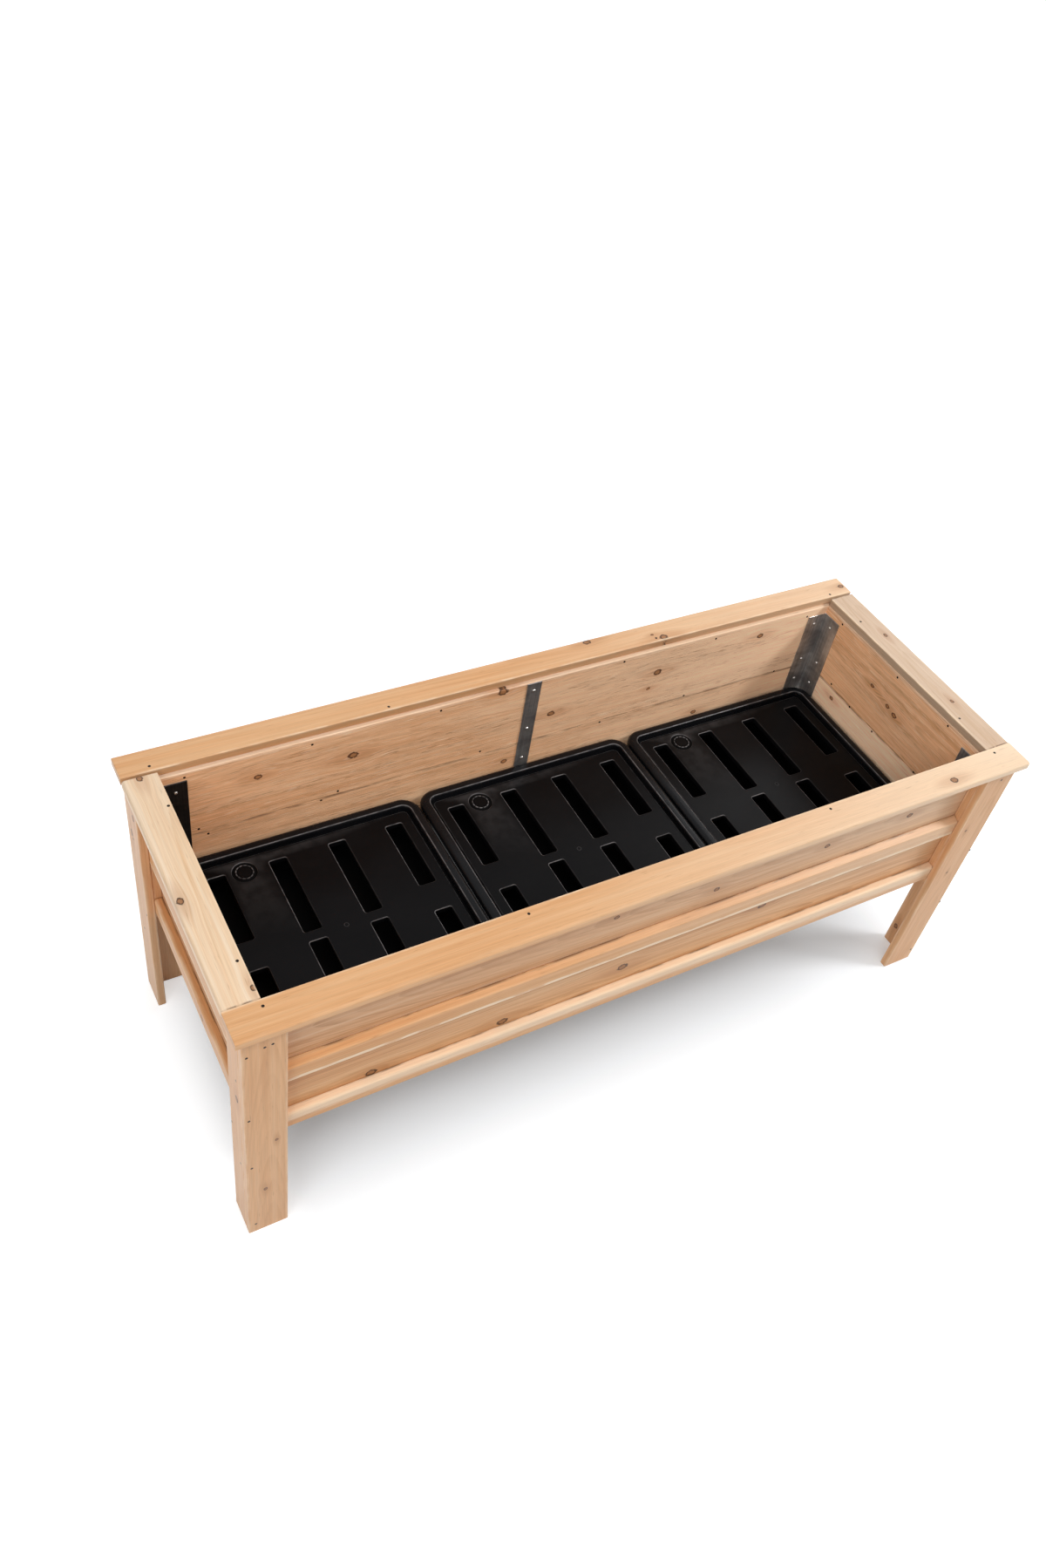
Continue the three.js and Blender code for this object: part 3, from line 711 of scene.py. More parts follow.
def add_board(place, corners, radii, material, marks=(1, 1, 1, 1), bands=(EDGE_BAND,) * 4,
              rough_side=None, seam_ends=False):
    """A board swept from its section, its ends eased, with its own grain coordinates on every point.

    The marks say how each long edge is finished: 1 is eased and worn pale, more is paler as a painted
    highlight, -1 is painted shade in a joint.
    The bands are how far that reaches from the edge.
    A shaded side is the one after that corner, left dull and darkened as painted shade, as the ends are
    darkened as end grain.
    Seam ends butt other boards, with painted shade in the joint.
    """
    rings, edges = [], []
    for along, inset in board_stations(place):
        ring = rounded_section(corners, radii, inset, marks, bands)
        rings.append([(along, point.x, point.y) for point, _ in ring])
        at_end = min(along, place.length - along) < END_EASE + END_BAND / 2
        edges += [-1.0 if at_end and seam_ends else edge for _, edge in ring]
    local = sum(rings, [])
    faces = bridge(rings)
    mesh = bpy.data.meshes.new(place.node + "_board")
    mesh.from_pydata([tuple(place.point(*point)) for point in local], [], faces)
    grain = mesh.attributes.new("grain", "FLOAT_VECTOR", "POINT")
    middle = (place.length / 2, place.width / 2, place.depth / 2)
    for index, point in enumerate(local):
        grain.data[index].vector = [value - half for value, half in zip(point, middle)]
    put_values(mesh, "edge", "POINT", edges)
    side_faces = ARC_STEPS + 3
    rough = [float(face % len(rings[0]) // side_faces == rough_side and face % side_faces >= ARC_STEPS)
             for face in range(len(faces) - 2)]
    put_values(mesh, "end_grain_and_shade", "FACE", rough + [1.0, 1.0])
    board = finish_piece(place.node + "_board", mesh, material, "box", sharp=BOARD_BREAK)
    stand_for(place.node)


# Boards

OUTWARD = {"front": -BACK, "back": BACK, "left": -RIGHT, "right": RIGHT}
ALONG = {"front": RIGHT, "back": RIGHT, "left": BACK, "right": BACK}
LONG_SIDES = ("front", "back")
ENDS = ("left", "right")
CORNERS = [(long_side, end) for long_side in LONG_SIDES for end in ENDS]

# Knots that show, by board: millimetres along and across the board, and radius
KNOTS = {
    "cap_left": [(-38, -940, 6.5), (291, -917, 6), (-271, -884, 5)],
    "cap_front": [(734, -345, 7)],
    "cap_right": [(127, 924, 4.5), (-133, 918, 4)],
    "cap_back": [(940, 333, 6), (174, 359, 7), (366, 313, 8), (343, 330, 3)],
    "wall_front_upper": [(681, 637, 6), (436, 633, 5.5), (-127, 649, 5), (134, 619, 5.5)],
    "wall_front_lower": [(-662, 405, 9), (-362, 409, 9), (-69, 446, 9), (301, 485, 8)],
    "wall_back_upper": [(-669, 671, 6.5), (-450, 660, 8.5), (63, 621, 7), (669, 697, 6.5), (361, 665, 8),
                        (345, 615, 4), (-82, 735, 9)],
    "wall_back_lower": [(-49, 498, 6), (520, 480, 6)],
    "wall_right_upper": [(2, 641, 5), (-27, 634, 6), (69, 654, 4.5)],
    "leg_front_left_face": [(358, -875, 3), (173, -900, 4)],
    "leg_front_right_face": [(544, 873, 3), (379, 893, 2.5)],
    "rail_left_bottom": [(-41, 372, 6)],
    "rail_front_mid": [],
    "rail_front_bottom": [],
}

# Knots of the other boards: the reach of their places in lengths and half widths, their radii as shares of
# the width, the most width that counts, and their numbers
KNOT_REACH_ALONG, KNOT_REACH_ACROSS = 0.45, 0.8
KNOT_RADII = (0.05, 0.12)
KNOT_WIDTH = 70 * MM
KNOT_NUMBERS = (0, 1, 1, 2)

# Boards that are paler or ruddier than their kind, and the right cap darker and greyer as painted shade with
# a painted sheen
BOARD_TONES = {"cap_left": "pale_cap", "cap_right": "grey_cap", "wall_front_lower": "ruddy_wall",
               "wall_right_lower": "pale_wall", "rail_back_bottom": "pale_rail"}

# How fast a board turns cream toward its right-hand end, per metre: paler wood with a painted sheen
SAPWOOD_AND_SHEEN = {"cap_front": 0.85, "cap_back": 0.45, "wall_front_upper": 0.35, "wall_front_lower": 0.12,
           "rail_front_mid": 0.45, "rail_front_bottom": 0.3, "wall_back_upper": 0.7, "wall_back_lower": 0.5}


def board_cedar(place, tone, **finish):
    """The cedar of a board of one kind, with its own knots, tone and sapwood where it has them."""
    return cedar(f"cedar_{place.node}", BOARD_TONES.get(place.node, tone), knots_of(place),
                 sapwood_and_sheen=SAPWOOD_AND_SHEEN.get(place.node, 0.0), **finish)


def knots_of(place):
    """The knots that show on a board, or a few of its own where none is known."""
    if place.node in KNOTS:
        return [place.knot(*knot) for knot in KNOTS[place.node]]
    rng = random.Random(place.node + " knots")
    return [(rng.uniform(-KNOT_REACH_ALONG, KNOT_REACH_ALONG) * place.length,
             rng.uniform(-KNOT_REACH_ACROSS, KNOT_REACH_ACROSS) * place.width / 2,
             rng.uniform(*KNOT_RADII) * min(place.width, KNOT_WIDTH))
            for _ in range(rng.choice(KNOT_NUMBERS))]


def add_caps():
    for side, out in OUTWARD.items():
        place = BoardPlace(f"cap_{side}", ALONG[side], out, UP)
        corners = place.section()
        if side == "back":
            for corner in (corners[0], corners[3]):
                corner.x += BACK_CAP_SETBACK
        wood = board_cedar(place, "cap", figure=0.5)
        # Its inner face is darkened as painted shade.
        add_board(place, corners, CAP_RADII, wood, CAP_MARKS, rough_side=3,
                  seam_ends=side in ENDS)


def add_walls():
    for side, out in OUTWARD.items():
        for level in ("upper", "lower"):
            place = BoardPlace(f"wall_{side}_{level}", ALONG[side], UP, out)
            upper = level == "upper"
            top = WALL_TOP_RADIUS if upper and side == "back" else SEAM_EDGE
            radii = (SEAM_EDGE, top, SEAM_EDGE, SEAM_EDGE)
            # Painted shade where the upper and lower boards meet.
            marks = (-1, 0, 0, -1) if upper else (0, -1, -1, 0)
            # An upper wall's top is painted as a pale band: its fuzz with a painted highlight.
            wood = board_cedar(place, "wall", figure=0.85, sawn_face=(-1, place.depth / 2),
                               fluffy_edge=place.width / 2 if upper else NO_EDGE)
            add_board(place, place.section(), radii, wood, marks)


def add_rails():
    for side, out in OUTWARD.items():
        mid = BoardPlace(f"rail_{side}_mid", ALONG[side], UP, out)
        corners = mid.section()
        corners[2].x -= MID_RAIL_SLOPE
        wood = board_cedar(mid, "rail")
        # Painted shade at the joint with the wall, and a painted highlight along the lower front edge.
        add_board(mid, corners, MID_RAIL_RADII, wood, MID_RAIL_MARKS, MID_RAIL_BANDS,
                  seam_ends=True)
        bottom = BoardPlace(f"rail_{side}_bottom", ALONG[side], UP, out)
        # The front bottom rail is painted cream over its upper half, a painted highlight on its lit top.
        highlight_from = BOTTOM_RAIL_HIGHLIGHT_FROM if side == "front" else NO_EDGE
        wood = board_cedar(bottom, "rail", fluffy_edge=highlight_from, fluff=SAPWOOD_AND_SHEEN_CREAM)
        add_board(bottom, bottom.section(), BOTTOM_RAIL_RADII, wood, BOTTOM_RAIL_MARKS,
                  seam_ends=True)


def add_legs_and_stiles():
    uprights = []
    for long_side, end in CORNERS:
        uprights += [(f"leg_{long_side}_{end}_face", long_side), (f"leg_{long_side}_{end}_side", end),
                     (f"stile_{long_side}_{end}", long_side), (f"stile_{end}_{long_side}", end)]
    for node, side in uprights:
        place = BoardPlace(node, UP, ALONG[side], OUTWARD[side])
        wood = board_cedar(place, "leg")
        add_board(place, place.section(), [EASED_EDGE] * 4, wood)


def add_floor():
    floor_boards = [(f"ledger_{side}", RIGHT, UP, -OUTWARD[side]) for side in LONG_SIDES]
    slats = sum(node.startswith("floor_slat_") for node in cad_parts)
    floor_boards += [(f"floor_slat_{number}", BACK, RIGHT, UP) for number in range(1, slats + 1)]
    for node, along, across, face in floor_boards:
        place = BoardPlace(node, along, across, face)
        wood = board_cedar(place, "floor", sawn_face=(1, place.depth / 2))
        add_board(place, place.section(), [EASED_EDGE] * 4, wood)


# Steel

def soft_ends(start, end):
    """Stations along a steel piece, with the inset of its softened edges at each."""
    return ((start, STEEL_EDGE), (start + STEEL_EDGE, 0), (end - STEEL_EDGE, 0), (end, STEEL_EDGE))


def add_steel(name, node, rings, steel):
    piece = new_piece(name, sum(rings, []), bridge(rings), steel, "box")
    stand_for(node)


def add_straps(steel):
    for side in LONG_SIDES:
        place = BoardPlace(f"strap_{side}", UP, RIGHT, -OUTWARD[side])
        rings = []
        for along, inset in soft_ends(0, place.length):
            section = rounded_section(place.section(), [STEEL_EDGE] * 4, inset)
            rings.append([place.point(along, point.x, point.y) for point, _ in section])
        add_steel(f"strap_{side}_plate", place.node, rings, steel)


def angle_section(flange, inset):
    """The L of a bent angle from its heel, with a rounded bend inside and softened edges."""
    low, thick, tip = inset, STEEL_THICKNESS - inset, flange - inset
    soft = STEEL_EDGE / 2
    bend_at, reach = STEEL_THICKNESS + BEND_RADIUS, BEND_RADIUS + inset
    leg = [(tip, low + soft), (tip, thick - soft), (tip - soft, thick), (bend_at, thick)]
    bend = [(bend_at - reach * math.sin(turn), bend_at - reach * math.cos(turn))
            for turn in quarter_turn(ARC_STEPS)[1:-1]]
    other = [(y, x) for x, y in reversed(leg)]
    return [(low, low), (tip - soft, low)] + leg + bend + other + [(low, tip - soft)]


def angle_heel(long_side, end):
    """The foot of an angle's heel, where the two walls meet."""
    low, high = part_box(f"angle_{long_side}_{end}")
    return Vector((low.x if end == "left" else high.x, low.y if long_side == "front" else high.y, low.z))


def add_angles(steels):
    for long_side, end in CORNERS:
        node = f"angle_{long_side}_{end}"
        low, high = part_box(node)
        heel = angle_heel(long_side, end)
        sign_x, sign_y = -OUTWARD[end].x, -OUTWARD[long_side].y
        rings = []
        for z, inset in soft_ends(low.z, high.z):
            section = angle_section(high.x - low.x, inset)
            rings.append([(heel.x + sign_x * x, heel.y + sign_y * y, z) for x, y in section])
        add_steel(f"{node}_bent", node, rings, steels[end])


# Nails, in millimetres on the faces that they are driven into

CAP_NAIL_SPOTS = ((-889, 318), (-362, 314), (346, 316), (889, 314), (-882, -313), (-349, -312), (401, -310),
                  (892, -311), (-890, -205), (-887, 200), (896, 194), (893, -188))
LONG_WALL_BRADS = ((-826, 727), (-547, 726), (-240, 727), (249, 731), (521, 728), (814, 722), (-804, 560),
                   (-784, 537), (-483, 557), (-523, 542), (-121, 557), (217, 542), (470, 553), (764, 550))
END_WALL_BRADS = ((231, 729), (10, 731), (-178, 733), (109, 546), (14, 542), (192, 556), (-150, 548))
# By 1 for the left legs and -1 for the right ones, whose spots are mirrored
LEG_FACE_BRADS = {1: ((-929, 685), (-929, 466), (-927, 281), (-923, 33), (-895, 699), (-880, 701)),
                  -1: ((-901, 710), (-938, 445), (-938, 240), (-929, 39))}
LEG_SIDE_BRADS = ((-278, 347), (-318, 560), (-292, 690), (-320, 250))


def add_heads(name, heads, size, material):
    """One piece with a low dome, on a short skirt, for each (centre in millimetres, normal)."""
    radius, height = size
    profile = [(radius, -NAIL_SKIRT)] + [(radius * math.cos(turn), height * math.sin(turn))
                                         for turn in quarter_turn(DOME_RINGS)[:-1]]
    points, faces = [], []
    for centre, normal in heads:
        side = normal.orthogonal().normalized()
        other = normal.cross(side)
        rings = []
        for reach, lift in profile:
            foot = Vector(centre) * MM + normal * lift
            rings.append([foot + reach * (side * math.cos(turn) + other * math.sin(turn))
                          for turn in full_turn(DOME_SEGMENTS)])
        faces += [tuple(len(points) + index for index in face) for face in bridge(rings)]
        points += sum(rings, [])
    piece = new_piece(name, points, faces, material, "box", sharp=HEAD_BREAK)


def steel_heads():
    heads = []
    for long_side in LONG_SIDES:
        strap_low, strap_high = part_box(f"strap_{long_side}")
        inward = -OUTWARD[long_side]
        face_y = strap_high.y if inward.y > 0 else strap_low.y
        heads += [((0, face_y / MM, level / MM), inward) for level in STRAP_NAIL_LEVELS]
        for end in ENDS:
            heel = angle_heel(long_side, end)
            inner = (-OUTWARD[end], inward)
            for along, face in (inner, inner[::-1]):
                spot = (heel + along * NAIL_FROM_CORNER + face * STEEL_THICKNESS) / MM
                heads += [((spot.x, spot.y, level / MM), face) for level in STEEL_NAIL_LEVELS]
    return heads


def cap_heads():
    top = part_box("cap_front")[1].z / MM
    return [((x, y, top), UP) for x, y in CAP_NAIL_SPOTS]


def board_brads():
    """Brads in the wall faces, the leg faces and the leg sides, as they show."""
    bed_x, bed_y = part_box("wall_right_upper")[0].x / MM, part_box("wall_back_upper")[0].y / MM
    leg_x, leg_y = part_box("leg_front_right_side")[1].x / MM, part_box("leg_back_left_face")[1].y / MM
    brads = []
    for mirror in (1, -1):
        brads += [((mirror * x, mirror * bed_y, z), -BACK * mirror) for x, z in LONG_WALL_BRADS]
    for mirror in (1, -1):
        brads += [((mirror * bed_x, mirror * y, z), -RIGHT * mirror) for y, z in END_WALL_BRADS]
    for mirror_x, face in LEG_FACE_BRADS.items():
        for mirror_y in (1, -1):
            brads += [((mirror_x * x, -mirror_y * leg_y, z), -BACK * mirror_y) for x, z in face]
            brads += [((-mirror_x * leg_x, mirror_y * y, z), -RIGHT * mirror_x) for y, z in LEG_SIDE_BRADS]
    return brads


# Trays

def tray_outline(half, inset, z):
    """A tray's outline about its middle, counter-clockwise from above, drawn in by an inset."""
    radius = max(TRAY_CORNER_RADIUS - inset, TRAY_INNER_CORNER)
    return rounded_outline(half.x - inset, half.y - inset, radius, z)


def rounded_outline(half_x, half_y, radius, z, steps=CORNER_STEPS):
    outline = []
    for corner, (sign_x, sign_y) in enumerate(((1, 1), (-1, 1), (-1, -1), (1, -1))):
        for step in range(steps + 1):
            turn = (corner + step / steps) * math.pi / 2
            outline.append(Vector((sign_x * (half_x - radius) + radius * math.cos(turn),
                                   sign_y * (half_y - radius) + radius * math.sin(turn), z)))
    return outline


def arc(inset, z, radius, start, end, steps=RIM_STEPS):
    """Points of an arc as inset and height, with angles in degrees from the tray's edge up and in."""
    turns = [math.radians(start + (end - start) * step / steps) for step in range(steps + 1)]
    return [(inset - radius * math.cos(turn), z + radius * math.sin(turn)) for turn in turns]


def pan_profile(top, bottom):
    ledge = top - DECK_BELOW_RIM - DECK_THICKNESS
    under_ledge = ledge - PAN_WALL
    skirt = top - RIM_SKIRT
    outer = (RIM_OUTER_RADIUS, top - RIM_OUTER_RADIUS)
    inner = (RIM_WIDTH - RIM_INNER_RADIUS, top - RIM_INNER_RADIUS)
    ledge_inner = RIM_WIDTH + LEDGE_WIDTH
    foot = PAN_FOOT_INSET + PAN_FOOT_RADIUS
    lip = PAN_WALL / 2
    return [
        (foot + PAN_EDGE, bottom),
        *arc(foot, bottom + PAN_FOOT_RADIUS, PAN_FOOT_RADIUS, -75, -10, SMALL_ARC_STEPS),
        (ledge_inner - PAN_WALL, under_ledge),
        (RIM_WIDTH - PAN_WALL, under_ledge),
        *arc(*inner, RIM_INNER_RADIUS - PAN_WALL, 180, 90, SMALL_ARC_STEPS),
        *arc(*outer, RIM_OUTER_RADIUS - PAN_WALL, 90, 0),
        (PAN_WALL, skirt + lip),
        *arc(lip, skirt + lip, lip, 180, 360, SMALL_ARC_STEPS),
        *arc(*outer, RIM_OUTER_RADIUS, 0, 90),
        *arc(*inner, RIM_INNER_RADIUS, 90, 180),
        (RIM_WIDTH, ledge + PAN_EDGE),
        (RIM_WIDTH + PAN_EDGE, ledge),
        (ledge_inner - PAN_EDGE, ledge),
        (ledge_inner, ledge - PAN_EDGE),
        (PAN_FOOT_INSET + PAN_WALL, bottom + PAN_WALL + PAN_FOOT_RADIUS),
        (foot + PAN_WALL, bottom + PAN_WALL),
    ]


def rib_rings(centre, half_y, bottom, top):
    """The rib across a pan's well, with its top edge softened."""
    edge_inset, edge_drop = RIB_EDGE
    rings = []
    for inset, z in ((0, bottom), (0, top - edge_drop), (edge_inset, top)):
        outline = rounded_outline(PAN_WALL / 2 - inset, half_y - inset, PAN_WALL / 4, z, RIB_CORNER_STEPS)
        rings.append([centre + point for point in outline])
    return rings


def add_pan(tray, rim_plastic, well_and_moat_shade_plastic):
    node = f"tray_{tray}_pan"
    low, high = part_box(node)
    middle, half = (low + high) / 2, (high - low) / 2
    centre = Vector((middle.x, middle.y, 0))
    profile = pan_profile(high.z, low.z)
    rings = [[centre + point for point in tray_outline(half, inset, z)] for inset, z in profile]
    points, faces = sum(rings, []), bridge(rings)
    well_from = len(faces) - 2 - WELL_RINGS * len(rings[0])
    # A painted highlight line along the rim's inner crest.
    lips = [RIM_HIGHLIGHT * (inset > RIM_WIDTH - RIM_HIGHLIGHT_INSET and z > high.z - RIM_HIGHLIGHT_DROP)
            for inset, z in profile for _ in rings[0]]
    rib_top = high.z - DECK_BELOW_RIM - DECK_THICKNESS + DECK_STEP
    rib_half = half.y - PAN_FOOT_INSET - PAN_WALL - PAN_RIB_END_GAP
    rib = rib_rings(centre, rib_half, low.z + PAN_WALL / 2, rib_top)
    faces += [tuple(len(points) + index for index in face) for face in bridge(rib)]
    points += sum(rib, [])
    lips += [0.0] * (len(points) - len(lips))
    pan = new_piece(f"{node}_shell", points, faces, rim_plastic, f"tray_{tray}")
    put_values(pan.data, "lip", "POINT", lips)
    pan.data.materials.append(well_and_moat_shade_plastic)
    for face in pan.data.polygons[well_from:]:
        face.material_index = 1
    stand_for(node)


def circle(centre, radius, lifts):
    """A ring about a centre, with its radius in millimetres and a height for each of its points."""
    reach = radius * MM
    return [Vector((centre.x + reach * math.cos(turn), centre.y + reach * math.sin(turn), lift))
            for turn, lift in zip(full_turn(len(lifts)), lifts)]


def highlit_by(shares, values):
    return [[share * value for value in values] for share in shares]


def knockout_rings(centre, top):
    """A round moat, a low bead inside it and a dashed cut within the bead, with painted highlights on their
    edges, most at the back.
    """
    dashed = [top - KNOCKOUT_CUT_DEPTH * (segment % KNOCKOUT_DASH < KNOCKOUT_DASH - KNOCKOUT_DASH_GAP)
              for segment in range(KNOCKOUT_SEGMENTS)]
    rings = [circle(centre, radius, [top + lift * MM] * KNOCKOUT_SEGMENTS) for radius, lift in KNOCKOUT_MOAT]
    rings += [circle(centre, radius, dashed) for radius in KNOCKOUT_CUT]
    rings.append(circle(centre, KNOCKOUT_PLUG, [top] * KNOCKOUT_SEGMENTS))
    # Painted highlights on the moat's edges, most at its back, and on the inner bead, less beside the gaps of
    # the cut.
    edge = [KNOCKOUT_NEAR_HIGHLIGHT + (1 - KNOCKOUT_NEAR_HIGHLIGHT) * max(0.0, math.sin(turn))
            for turn in full_turn(KNOCKOUT_SEGMENTS)]
    bead = [1.0 if height < top else KNOCKOUT_GAP_HIGHLIGHT for height in dashed]
    return rings, highlit_by(KNOCKOUT_EDGE_HIGHLIGHT, edge) + highlit_by(KNOCKOUT_BEAD_HIGHLIGHT, bead)


def gate_mark_rings(centre, top):
    """The small ring where the mould was filled, with a nib in its middle."""
    rings = [circle(centre, radius, [top + lift * MM] * GATE_MARK_SEGMENTS) for radius, lift in GATE_MARK]
    # Painted highlights on the raised ring.
    return rings, highlit_by(GATE_MARK_HIGHLIGHT, [1.0] * GATE_MARK_SEGMENTS)


def slot_rings(slot_x, row, start, top, under):
    """A slot's rounded lip, its wall down through the collar, and the collar's outside up again."""
    half_y = (SLOT_REACH - start) / 2
    centre = Vector((slot_x, row * (start + SLOT_REACH) / 2, 0))
    foot = under - COLLAR_DEPTH
    profile = [(SLOT_LIP * (1 - math.sin(turn)), top - SLOT_LIP * (1 - math.cos(turn)))
               for turn in quarter_turn(ARC_STEPS)]
    profile += [(0, foot + COLLAR_EDGE), (COLLAR_EDGE, foot), (COLLAR_WALL - COLLAR_EDGE, foot),
                (COLLAR_WALL, foot + COLLAR_EDGE), (COLLAR_WALL, under)]
    rings = []
    for grow, z in profile:
        outline = rounded_outline(SLOT_WIDTH / 2 + grow, half_y + grow, SLOT_CORNER_RADIUS + grow, z,
                                  SLOT_CORNER_STEPS)
        rings.append([centre + point for point in outline])
    turns = [(corner + step / SLOT_CORNER_STEPS) * math.pi / 2
             for corner in range(4) for step in range(SLOT_CORNER_STEPS + 1)]
    # Painted highlights on the lip, most on the left and back sides.
    highlit = [SLOT_NEAR_HIGHLIGHT + (1 - SLOT_NEAR_HIGHLIGHT) * max(0.0, -math.cos(turn), math.sin(turn))
              for turn in turns]
    return rings, highlit_by(SLOT_LIP_HIGHLIGHT, highlit)


class Shell:
    """A closed shell gathered from bands of rings and flat fills between their edges."""

    def __init__(self):
        self.mesh = bmesh.new()
        # The lip layer holds the painted highlights.
        self.lip = self.mesh.verts.layers.float.new("lip")

    def band(self, rings, lips=(), closed_end=False, shaded_rings=()):
        """Adds the faces between rings, the first of them with painted highlights, and returns the edges of
        the outer two.

        A shaded ring is the number of the ring before faces that take the second, darker material as painted
        shade.
        """
        loops = [[self.mesh.verts.new(point) for point in ring] for ring in rings]
        for loop, values in zip(loops, lips):
            for vertex, value in zip(loop, values):
                vertex[self.lip] = value
        for number, (loop, after) in enumerate(zip(loops, loops[1:])):
            for place in range(len(loop)):
                following = (place + 1) % len(loop)
                face = self.mesh.faces.new((loop[place], loop[following], after[following], after[place]))
                face.material_index = int(number in shaded_rings)
        if closed_end:
            self.mesh.faces.new(loops[-1])
        return self.edges(loops[0]), self.edges(loops[-1])

    def edges(self, loop):
        found = []
        for place in range(len(loop)):
            pair = (loop[place - 1], loop[place])
            found.append(self.mesh.edges.get(pair) or self.mesh.edges.new(pair))
        return found

    def fill(self, edges):
        bmesh.ops.triangle_fill(self.mesh, use_beauty=True, use_dissolve=False, edges=edges)


def deck_profile(top):
    """A deck's edge from its underside, out over the ledge and up its step, as inset and height."""
    under, border_top = top - DECK_THICKNESS, top - DECK_STEP
    ledge = border_top - DECK_THICKNESS
    edge, step = RIM_WIDTH + DECK_CLEARANCE, RIM_WIDTH + DECK_BORDER
    inner = RIM_WIDTH + LEDGE_WIDTH - DECK_CLEARANCE
    profile = [(inner, under), (inner, ledge), (edge + DECK_EDGE, ledge), (edge, ledge + DECK_EDGE),
               *arc(edge + DECK_EDGE, border_top - DECK_EDGE, DECK_EDGE, 0, 90, SMALL_ARC_STEPS)]
    for points, level in ((DECK_STEP_FOOT, border_top), (DECK_STEP_BROW, top)):
        profile += [(step + inset * MM, level + lift * MM) for inset, lift in points]
    return profile


def add_deck(tray, plastic, moat_shade_plastic):
    node = f"tray_{tray}_deck"
    pan_low, pan_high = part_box(f"tray_{tray}_pan")
    low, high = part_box(node)
    half = (pan_high - pan_low) / 2
    top, under = high.z, high.z - DECK_THICKNESS
    profile = deck_profile(top)
    shell = Shell()
    outline = [tray_outline(half, inset, z) for inset, z in profile]
    # A painted highlight along the brow of the step.
    lips = [[DECK_STEP_HIGHLIGHT * (z > top - DECK_STEP / 2)] * len(outline[0]) for _, z in profile[:-1]]
    underside, face = shell.band(outline, lips)
    for slot_x, start in SLOT_COLUMNS:
        for row in (1, -1):
            slot_top, slot_under = shell.band(*slot_rings(slot_x, row, start, top, under))
            face += slot_top
            underside += slot_under
    # The moat and the cut take the darker plastic as painted shade.
    face += shell.band(*knockout_rings(KNOCKOUT_CENTRE, top), closed_end=True,
                       shaded_rings=KNOCKOUT_SHADED_RINGS)[0]
    face += shell.band(*gate_mark_rings(Vector((0, 0)), top), closed_end=True)[0]
    shell.fill(face)
    shell.fill(underside)
    middle = (low + high) / 2
    bmesh.ops.translate(shell.mesh, vec=(middle.x, middle.y, 0), verts=shell.mesh.verts)
    mesh = bpy.data.meshes.new(f"{node}_plate")
    shell.mesh.to_mesh(mesh)
    shell.mesh.free()
    deck = finish_piece(f"{node}_plate", mesh, plastic, f"tray_{tray}")
    deck.data.materials.append(moat_shade_plastic)
    stand_for(node)


# Stage: floor, light and camera

FLOOR_REACH = 30.0
FLOOR_DROP = 0.2 * MM
FLOOR_GREY = (0.68, 0.705, 0.73, 1)
# How bright the floor glows of itself under the planter and beside it, and what is added far off and past its
# left end, each with the distances from the planter's outline over which it rises: painted light, low where
# the shadow stays and high where it washes the shadow out
FLOOR_GLOW, FLOOR_GLOW_RISE = (0.05, 0.6), (-0.25, 0.2)
FAR_GLOW, FAR_GLOW_RISE = 0.22, (1.0, 4.0)
LEFT_GLOW, LEFT_GLOW_RISE = 0.3, (-0.17, 0.0)

# The sky: its level overhead, the heights over which the horizon goes over to it, the horizon's level along
# each axis as two places and the levels there, and a dim part
SKY_LEVEL = 0.74
SKY_RISE = (0.2, 0.72)
HORIZON_ALONG = (0, -0.9, 0.25, 1.15)
HORIZON_ACROSS = (-0.8, 0.2, 0.35, 1.0)
DIM_SKY = Vector((-0.3, 0.62, 0.73)).normalized()
DIM_SKY_EDGE = (0.62, 0.84)
DIM_SKY_LEVEL = 0.03

# Softboxes: place, target, width, height and watts
SOFTBOXES = {
    "right_key": ((4.65, -2.35, 5.25), (0.2, 0, 0.6), 1.4, 1.2, 212),
    "left_fill": ((-2.4, -1.6, 2.4), (0.2, 0, 0.6), 1.2, 1.2, 21),
    "low_left_fill": ((-3.0, -0.3, 1.5), (-0.9, 0, 0.35), 1.2, 1.2, 3),
    "overhead": ((0.3, -0.9, 3.8), (0.3, 0.2, 0.5), 1.1, 0.7, 12),
    "back_fill": ((0.8, 4.2, 2.0), (0, 0, 0.5), 2.0, 1.4, 33),
    "back_right": ((3.45, 1.85, 3.2), (0.4, 0, 0.4), 1.7, 1.1, 21),
}

SENSOR_WIDTH = 36
FOCAL_LENGTH = 29.28
CAMERA_PLACE = Vector((-1.3068, -1.5342, 2.6665))
CAMERA_RIGHT = Vector((0.87283247, -0.46999149, 0.13142097))
CAMERA_DOWN = Vector((-0.25832374, -0.67342233, -0.69265518))
CAMERA_FORWARD = Vector((0.41404386, 0.57062278, -0.70919484))


def seen_or_mirrored(n):
    """1 for rays from the camera, a mirror or glass, and 0 for those that light the object."""
    path = n.add("ShaderNodeLightPath").outputs
    seen = n.math("MAXIMUM", path["Is Camera Ray"], path["Is Glossy Ray"])
    return n.math("MAXIMUM", seen, path["Is Transmission Ray"])


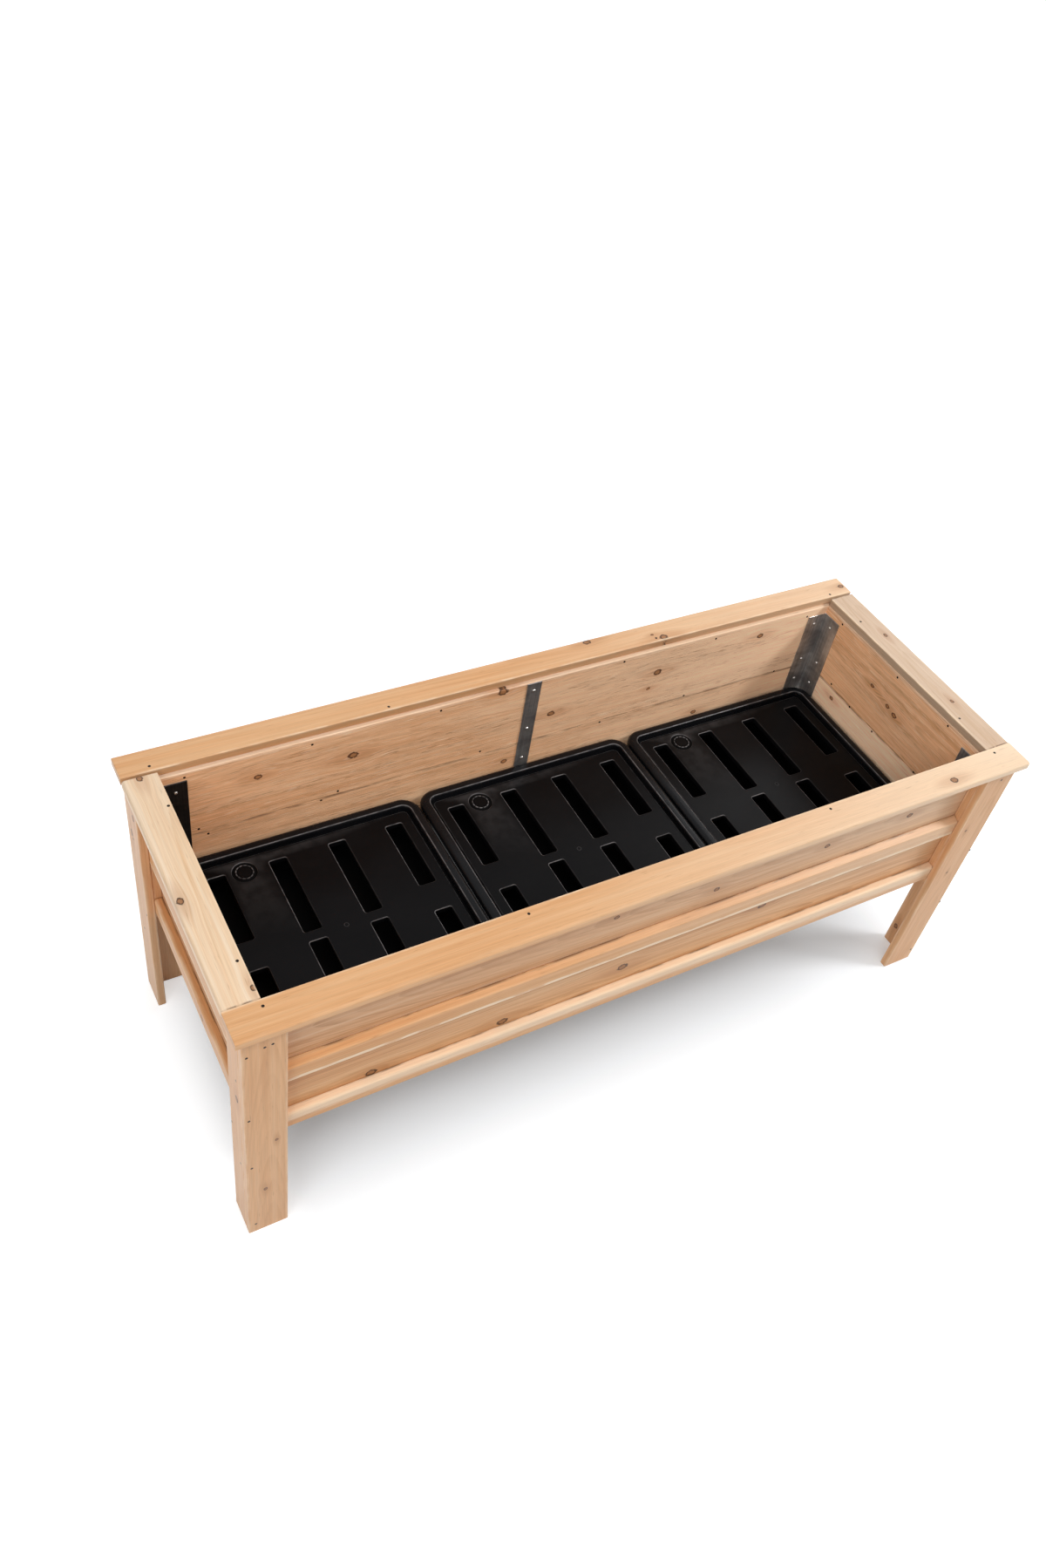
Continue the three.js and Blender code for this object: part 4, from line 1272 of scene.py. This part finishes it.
def add_studio_floor():
    signs = ((-1, -1), (1, -1), (1, 1), (-1, 1))
    mesh = bpy.data.meshes.new("studio_floor")
    mesh.from_pydata([(x * FLOOR_REACH, y * FLOOR_REACH, 0) for x, y in signs], [], [(0, 1, 2, 3)])
    material, n, surface = new_material("studio_white")
    x, y, _ = n.split(n.object_place())
    low, high = cad_box
    from_ends = n.less(n.math("ABSOLUTE", x), high[0])
    from_sides = n.less(n.math("ABSOLUTE", y), high[1])
    outside = n.math("MAXIMUM", from_ends, from_sides)
    past_left = n.less(low[0], x)
    glow = n.total(n.ramp(outside, *FLOOR_GLOW_RISE, *FLOOR_GLOW),
                   n.ramp(outside, *FAR_GLOW_RISE, 0.0, FAR_GLOW),
                   n.ramp(past_left, *LEFT_GLOW_RISE, 0.0, LEFT_GLOW))
    n.fill(surface, Base_Color=FLOOR_GREY, Roughness=1.0, Specular_IOR_Level=0.0,
           Emission_Color=(1, 1, 1, 1), Emission_Strength=n.product(seen_or_mirrored(n), glow))
    mesh.materials.append(material)
    floor = new_object("studio_floor", mesh)
    floor.location.z = -FLOOR_DROP


def add_softbox(name, place, target, width, height, power):
    light = bpy.data.lights.new(name, "AREA")
    light.shape = "RECTANGLE"
    light.size, light.size_y, light.energy = width, height, power
    box = new_object(name, light)
    box.location = place
    box.rotation_euler = (Vector(place) - Vector(target)).to_track_quat("Z", "Y").to_euler()


def add_studio_light():
    world = bpy.data.worlds.new("studio")
    bpy.context.scene.world = world
    world.use_nodes = True
    n = Nodes(world.node_tree)
    sky = world.node_tree.nodes["Background"].inputs
    x, y, z = n.split(n.add("ShaderNodeTexCoord").outputs["Generated"])
    toward_dim = n.total(n.product(x, DIM_SKY.x), n.product(y, DIM_SKY.y), n.product(z, DIM_SKY.z))
    horizon = n.product(n.ramp(x, *HORIZON_ALONG), n.ramp(y, *HORIZON_ACROSS))
    light = n.product(n.ramp(z, *SKY_RISE, horizon, SKY_LEVEL),
                      n.ramp(toward_dim, *DIM_SKY_EDGE, 1.0, DIM_SKY_LEVEL))
    n.fill(sky, Color=(1, 1, 1, 1), Strength=n.ramp(seen_or_mirrored(n), 0, 1, light, 1.0, smooth=False))
    for name, softbox in SOFTBOXES.items():
        add_softbox(name, *softbox)


def add_camera():
    lens = bpy.data.cameras.new("camera")
    lens.sensor_width = SENSOR_WIDTH
    lens.lens = FOCAL_LENGTH
    camera = new_object("camera", lens)
    turn = Matrix((CAMERA_RIGHT, -CAMERA_DOWN, -CAMERA_FORWARD)).transposed().to_4x4()
    camera.matrix_world = Matrix.Translation(CAMERA_PLACE) @ turn
    bpy.context.scene.camera = camera


def main():
    bpy.context.scene.view_settings.view_transform = "Standard"
    add_caps()
    add_walls()
    add_rails()
    add_legs_and_stiles()
    add_floor()
    steel = bent_steel("mill_steel", (150, 148, 148), (232, 229, 226))
    # The left angles are made darker as painted shade.
    shaded_steel = bent_steel("painted_shade_steel", (50, 47, 46), (84, 80, 78))
    add_straps(steel)
    add_angles({"left": shaded_steel, "right": steel})
    zinc = nail_metal("nail_zinc", (236, 235, 232), (188, 186, 182))
    dark_head = nail_metal("nail_dark", (70, 60, 54), (40, 33, 29))
    add_heads("steel_nail_heads", steel_heads(), STEEL_NAIL, zinc)
    add_heads("cap_nail_heads", cap_heads(), CAP_NAIL, dark_head)
    add_heads("board_brads", board_brads(), BRAD, dark_head)
    rim_plastic = black_plastic("tray_rim_plastic", (13, 14, 17), (18, 19, 22),
                                roughness=0.24, gloss=0.15, pebble=0.05)
    deck_plastic = black_plastic("tray_deck_plastic", (9, 9, 11), (13, 13, 15),
                                 roughness=0.34, gloss=0.075, pebble=0.1)
    # A darker, duller plastic for the wells, also painted shade in the knock-out's moat and cut.
    well_and_moat_shade_plastic = black_plastic("tray_well_and_moat_shade_plastic", (8, 8, 9), (11, 11, 12),
                                 roughness=0.6, gloss=0.05, pebble=0.2)
    for tray in TRAY_NAMES:
        add_pan(tray, rim_plastic, well_and_moat_shade_plastic)
        add_deck(tray, deck_plastic, well_and_moat_shade_plastic)
    add_studio_floor()
    add_studio_light()
    add_camera()


main()
